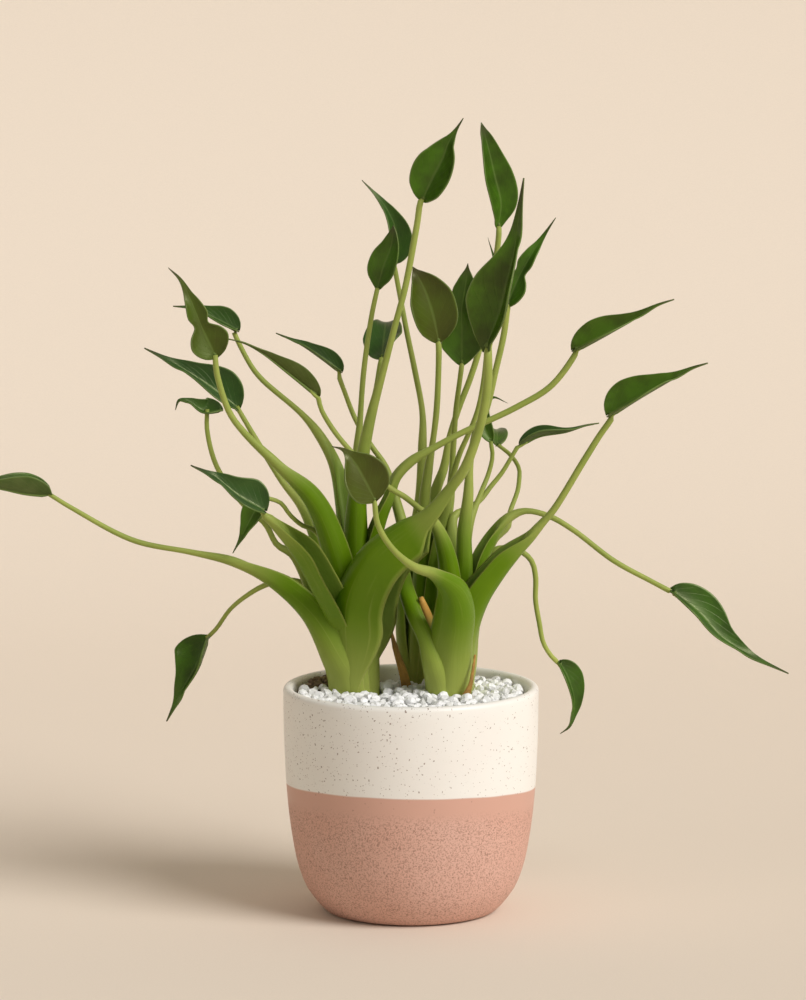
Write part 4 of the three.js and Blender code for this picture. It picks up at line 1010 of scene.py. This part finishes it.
def build_dry_sheath(sheath, material):
    """One old brown sheath: a torn strip with curled margins."""
    path = SmoothPath(sheath["path"])
    face = Vector(sheath["facing"]).normalized()
    columns, rows = 14, 40
    bm, verts = new_sheet(columns, rows)
    for vert, u, v in verts:
        t = path.span_at(v)
        here = path.at(t)
        ahead = path.ahead(t)
        side = ahead.cross(face).normalized()
        out = side.cross(ahead)
        across = 2 * u - 1
        tear = noise.noise(Vector((across * 2, v * 9, 1))) * 0.5
        curl = -1.1 * across ** 2 * here.w / 7 + tear
        vert.co = here.xyz + side * (across * max(here.w, 0.6) / 2) + out * curl
    bmesh.ops.recalc_face_normals(bm, faces=bm.faces)
    bmesh.ops.solidify(bm, geom=bm.faces[:], thickness=0.5)
    bmesh.ops.recalc_face_normals(bm, faces=bm.faces)
    keep_piece(bm, sheath["name"] + "_torn", [material], [sheath["name"]])


def pot_profile():
    """The pot's wall as (radius, height), from the middle of the foot round to the middle inside."""
    path = SmoothPath([(r, 0, h) for r, h in POT_OUTSIDE[2:]])
    curve = [path.at(path.span_at(k / 22)) for k in range(23)]
    outside = [*POT_OUTSIDE[:2], *((p.x, p.z) for p in curve)]
    middle = POT_OUTSIDE[-1][0] - LIP_RADIUS
    lip = [(middle + LIP_RADIUS * math.cos(math.radians(a)),
            POT_HEIGHT - LIP_RADIUS + LIP_RADIUS * math.sin(math.radians(a)))
           for a in (20, 40, 60, 80, 100, 120, 140, 160)]
    inside = [(p.x - POT_WALL, p.z) for p in reversed(curve) if p.z > 10]
    return [(0, 0), *outside, *lip, *inside, (44, 7), (38, 6), (0, 6)]


def build_pot(settings, material):
    """The pot, turned from its wall's profile."""
    bm = bmesh.new()
    corners = [bm.verts.new((radius, 0, height)) for radius, height in pot_profile()]
    edges = [bm.edges.new(pair) for pair in zip(corners, corners[1:])]
    bmesh.ops.spin(bm, geom=corners + edges, cent=(0, 0, 0), axis=(0, 0, 1), angle=math.tau,
                   steps=settings.turns, use_merge=True, use_duplicate=False)
    bmesh.ops.remove_doubles(bm, verts=bm.verts, dist=1e-4)
    bmesh.ops.recalc_face_normals(bm, faces=bm.faces)
    keep_piece(bm, "two_tone_pot", [material], ["pot"])


def inside_bare_mix(x, y):
    """True at the back left, where the dark mix has no stones on it."""
    for (low_x, low_y), (high_x, high_y) in zip(BARE_EDGE, BARE_EDGE[1:]):
        if low_x <= x <= high_x:
            return y > mix_numbers(low_y, high_y, (x - low_x) / (high_x - low_x))
    return False


def mix_heap(x, y):
    """How far the bark is heaped up against the wall at the back left."""
    return HEAP * smooth(math.hypot(x, y), 36, 50) * smooth(-x, 10, 34) * smooth(y, 2, 14)


def foot_circles(height):
    """Where each stalk stands at a height, as (x, y, radius)."""
    circles = []
    for leaf in LEAVES:
        if leaf.stalk[0][2] > FOOT_TOP:
            continue
        path = SmoothPath(leaf.stalk)
        t = 0.0
        while path.at(t).z < height and t < 1:
            t += 0.02
        here = path.at(t)
        circles.append((here.x, here.y, here.w))
    return circles


def on_a_foot(x, y, spare, feet):
    """True where a chip would stand in a stalk."""
    return any(math.hypot(x - fx, y - fy) < radius + spare for fx, fy, radius in feet)


def scatter_chip(bm, tint_layer, draw, size, shape, place, worn, tint):
    """One broken chip: a ball cut flat on a few sides, less so the more worn it is."""
    made = bmesh.ops.create_uvsphere(bm, u_segments=8, v_segments=5, radius=0.5)
    sides = [Vector([draw.gauss(0, 1) for _ in range(3)]).normalized() for _ in range(CHIP_CUTS)]
    flats = [(side, draw.uniform(worn, 1) * 0.5) for side in sides]
    turn = Matrix.Rotation(draw.uniform(-1, 1), 3, "X") @ Matrix.Rotation(draw.uniform(0, math.tau), 3, "Z")
    for vert in made["verts"]:
        here = vert.co.copy()
        for side, reach in flats:
            here -= side * max(0, here.dot(side) - reach)
        stretched = Vector([c * k * size for c, k in zip(here, shape)])
        vert.co = turn @ stretched + Vector(place)
        vert[tint_layer] = tint


def build_stones(settings, material):
    """White marble chips in two loose layers."""
    draw = random.Random(STONE_SEED)
    feet = foot_circles(FOOT_TOP)
    size = settings.stone_size / MM
    bm = bmesh.new()
    tint_layer = bm.verts.layers.float.new("tint")
    for level, spacing in ((STONES_TOP - 4.6, 0.95 * size), (STONES_TOP - 1.4, 1.02 * size)):
        rows = int(MOUTH_RADIUS / (0.87 * spacing)) + 1
        for i in range(-rows, rows + 1):
            for j in range(-rows, rows + 1):
                x = (i + 0.5 * (j % 2)) * spacing + draw.uniform(-0.2, 0.2) * spacing
                y = j * 0.87 * spacing + draw.uniform(-0.2, 0.2) * spacing
                chip = size * draw.uniform(0.9, 1.2)
                lift = draw.uniform(-1.3, 1.0)
                tint = draw.random() ** 2
                if math.hypot(x, y) > MOUTH_RADIUS - 0.45 * chip or inside_bare_mix(x, y):
                    continue
                if on_a_foot(x, y, 0.1 * chip, feet):
                    continue
                shape = (draw.uniform(0.95, 1.25), draw.uniform(0.8, 1), draw.uniform(0.7, 0.9))
                scatter_chip(bm, tint_layer, draw, chip, shape, (x, y, level + lift), 0.45, tint)
    bmesh.ops.recalc_face_normals(bm, faces=bm.faces)
    keep_piece(bm, "marble_chips", [material], ["white_stones"], flat=True)


def build_mix(settings, materials):
    """The uneven bed of the potting mix, with loose bark on its bare part."""
    levels = ((0, 0), (18, 0), (36, 0), (48, 0), (MOUTH_RADIUS, 0), (MOUTH_RADIUS, -6), (60, -12),
              (58, -60), (52, -88), (40, -97), (0, -98))
    sides, rings = 72, len(levels) - 1
    bm, verts = new_sheet(sides, rings)
    for vert, u, v in verts:
        radius, drop = levels[round(v * rings)]
        turn = -(round(u * sides) % sides) / sides * math.tau
        x, y = radius * math.cos(turn), radius * math.sin(turn)
        on_top = drop == 0
        rough = 1.2 * noise.noise(Vector((x, y, 3)) * 0.09) if on_top and 0 < radius < MOUTH_RADIUS else 0
        heap = mix_heap(x, y) if on_top else 0
        vert.co = (x, y, MIX_TOP - 0.6 + drop + rough + heap)
    bmesh.ops.remove_doubles(bm, verts=bm.verts, dist=1e-4)
    bmesh.ops.recalc_face_normals(bm, faces=bm.faces)
    keep_piece(bm, "potting_mix_bed", materials, ["potting_mix"])
    draw = random.Random(BARK_SEED)
    feet = foot_circles(FOOT_TOP - 2)
    size = settings.bark_size / MM
    bm = bmesh.new()
    tint_layer = bm.verts.layers.float.new("tint")
    for n in range(BARK_TRIES):
        turn = draw.uniform(0, math.tau)
        reach = math.sqrt(draw.random()) * (MOUTH_RADIUS - 4)
        x, y = reach * math.cos(turn), reach * math.sin(turn)
        chip = size * (draw.uniform(0.5, 1.1) if n % 3 else draw.uniform(0.2, 0.4))
        lift = draw.uniform(-0.5, 2.4) + mix_heap(x, y)
        tint = draw.random()
        if not inside_bare_mix(x, y + 2) or reach > MOUTH_RADIUS - 0.6 * chip:
            continue
        if on_a_foot(x, y, 0.2 * chip, feet):
            continue
        shape = (draw.uniform(0.9, 1.3), draw.uniform(0.5, 0.8), draw.uniform(0.3, 0.5))
        scatter_chip(bm, tint_layer, draw, chip, shape, (x, y, MIX_TOP + lift), 0.4, tint)
    bmesh.ops.recalc_face_normals(bm, faces=bm.faces)
    keep_piece(bm, "loose_bark", materials, ["potting_mix"], flat=True)


class ALOCASIA_OT_stalks(bpy.types.Operator):
    """Builds every leaf stalk with its sheath"""

    bl_idname = "alocasia.stalks"
    bl_label = "Stalks and sheaths"

    def execute(self, context):
        settings = context.scene.alocasia_plant
        material = stalk_material(settings)
        for leaf in LEAVES:
            build_stalk(leaf, settings, material)
        return {"FINISHED"}


class ALOCASIA_OT_blades(bpy.types.Operator):
    """Builds every leaf blade"""

    bl_idname = "alocasia.blades"
    bl_label = "Leaf blades"

    def execute(self, context):
        settings = context.scene.alocasia_plant
        materials = [blade_top_material(settings), blade_under_material(settings)]
        for leaf in LEAVES:
            if leaf.rib:
                build_blade(leaf, settings, materials)
        return {"FINISHED"}


class ALOCASIA_OT_dry_sheaths(bpy.types.Operator):
    """Builds the old brown sheaths at the foot"""

    bl_idname = "alocasia.dry_sheaths"
    bl_label = "Dry sheaths"

    def execute(self, context):
        material = dry_material(context.scene.alocasia_plant)
        for sheath in DRY_SHEATHS:
            build_dry_sheath(sheath, material)
        return {"FINISHED"}


class ALOCASIA_OT_pot(bpy.types.Operator):
    """Turns the two-tone pot"""

    bl_idname = "alocasia.pot"
    bl_label = "Pot"

    def execute(self, context):
        settings = context.scene.alocasia_pot
        build_pot(settings, pot_material(settings))
        return {"FINISHED"}


class ALOCASIA_OT_mix(bpy.types.Operator):
    """Builds the potting mix and its loose bark"""

    bl_idname = "alocasia.potting_mix"
    bl_label = "Potting mix"

    def execute(self, context):
        settings = context.scene.alocasia_mix
        dark = screen_colour(88, 72, 56)
        build_mix(settings, [crumb_material("alocasia_bark", settings.bark, dark, 0.92, 260.0)])
        return {"FINISHED"}


class ALOCASIA_OT_stones(bpy.types.Operator):
    """Scatters the white marble chips"""

    bl_idname = "alocasia.stones"
    bl_label = "White stones"

    def execute(self, context):
        settings = context.scene.alocasia_mix
        grey = screen_colour(216, 217, 214)
        build_stones(settings, crumb_material("alocasia_marble", settings.stone, grey, 0.62, 420.0))
        return {"FINISHED"}


def add_lamp(light, colour, strength, place, target):
    """Hangs a light so that it looks at a point."""
    light.color = colour
    light.energy = strength
    lamp = bpy.data.objects.new(light.name, light)
    lamp.location = place
    lamp.rotation_euler = (Vector(target) - Vector(place)).to_track_quat("-Z", "Y").to_euler()
    bpy.context.scene.collection.objects.link(lamp)


class ALOCASIA_OT_stage(bpy.types.Operator):
    """Sets up the backdrop, the light and the camera"""

    bl_idname = "alocasia.stage"
    bl_label = "Stage, light and camera"

    def execute(self, context):
        scene = context.scene
        settings = scene.alocasia_stage
        rise = math.radians(CAMERA_RISE)
        target = Vector(TARGET) * MM
        away = Vector((0, -math.cos(rise), math.sin(rise))) * CAMERA_AWAY * MM
        camera = bpy.data.objects.new("camera", bpy.data.cameras.new("camera"))
        camera.location = target + away
        camera.rotation_euler = (-away).to_track_quat("-Z", "Y").to_euler()
        camera.data.sensor_width = SENSOR
        camera.data.lens = SENSOR * CAMERA_AWAY / (PIXEL_AT_TARGET * IMAGE_HEIGHT)
        camera.data.clip_end = 20
        scene.collection.objects.link(camera)
        scene.camera = camera
        # One paper sweep: the floor bends up into the wall behind the plant
        bm, verts = new_sheet(8, SWEEP_ROWS)
        for vert, u, v in verts:
            run = v * SWEEP_LENGTH - SWEEP_FRONT
            turn = min(max((run - SWEEP_BEND) / SWEEP_RADIUS, 0), math.pi / 2)
            climb = max(run - SWEEP_BEND - SWEEP_RADIUS * math.pi / 2, 0)
            vert.co = ((u - 0.5) * SWEEP_WIDTH, min(run, SWEEP_BEND) + SWEEP_RADIUS * math.sin(turn),
                       SWEEP_RADIUS * (1 - math.cos(turn)) + climb)
        bm.normal_update()
        mesh = bpy.data.meshes.new("backdrop")
        bm.to_mesh(mesh)
        bm.free()
        mesh.polygons.foreach_set("use_smooth", [True] * len(mesh.polygons))
        material, finish, shader = new_material("backdrop_paper")
        grain = finish.noise(finish.place(), 900.0, 2.0)
        darker = tuple(0.93 * c for c in settings.backdrop[:3]) + (1.0,)
        # Seen from behind, the wall lets the view through to the plant
        behind = finish.node("ShaderNodeNewGeometry").outputs["Backfacing"]
        finish.dress(shader, {
            "Base Color": finish.blend(grain, settings.backdrop, darker),
            "Roughness": 0.9,
            "Alpha": finish.sum("SUBTRACT", 1.0, behind),
        })
        mesh.materials.append(material)
        sweep = bpy.data.objects.new("backdrop", mesh)
        scene.collection.objects.link(sweep)
        key = bpy.data.lights.new("key", "SUN")
        key.angle = math.radians(KEY_ANGLE)
        add_lamp(key, KEY_COLOUR, settings.key_strength, KEY_PLACE, KEY_TARGET)
        fill = bpy.data.lights.new("fill", "AREA")
        fill.size = FILL_SIZE
        add_lamp(fill, FILL_COLOUR, settings.fill_power, FILL_PLACE, FILL_TARGET)
        world = bpy.data.worlds.new("room")
        world.use_nodes = True
        background = world.node_tree.nodes["Background"]
        background.inputs[0].default_value = ROOM_COLOUR
        background.inputs[1].default_value = settings.sky
        scene.world = world
        scene.view_settings.view_transform = "Standard"
        return {"FINISHED"}


class ALOCASIA_PT_panel(bpy.types.Panel):
    """Lists the sizes, colours and steps of the plant"""

    bl_idname = "ALOCASIA_PT_panel"
    bl_label = "Alocasia"
    bl_space_type = "VIEW_3D"
    bl_region_type = "UI"
    bl_category = "Alocasia"

    def draw(self, context):
        for operator in OPERATORS:
            self.layout.operator(operator.bl_idname)
        for attribute, group in SETTINGS:
            box = self.layout.box()
            for key in group.__annotations__:
                box.prop(getattr(context.scene, attribute), key)


OPERATORS = (
    ALOCASIA_OT_stage,
    ALOCASIA_OT_pot,
    ALOCASIA_OT_mix,
    ALOCASIA_OT_stones,
    ALOCASIA_OT_stalks,
    ALOCASIA_OT_blades,
    ALOCASIA_OT_dry_sheaths,
)


def register():
    for attribute, group in SETTINGS:
        bpy.utils.register_class(group)
        setattr(bpy.types.Scene, attribute, PointerProperty(type=group))
    for one in (*OPERATORS, ALOCASIA_PT_panel):
        bpy.utils.register_class(one)


def unregister():
    for one in reversed((*OPERATORS, ALOCASIA_PT_panel)):
        bpy.utils.unregister_class(one)
    for attribute, group in reversed(SETTINGS):
        delattr(bpy.types.Scene, attribute)
        bpy.utils.unregister_class(group)


def main():
    register()
    bpy.ops.alocasia.stage()
    bpy.ops.alocasia.pot()
    bpy.ops.alocasia.potting_mix()
    bpy.ops.alocasia.stones()
    bpy.ops.alocasia.stalks()
    bpy.ops.alocasia.blades()
    bpy.ops.alocasia.dry_sheaths()


if __name__ == "__main__":
    main()
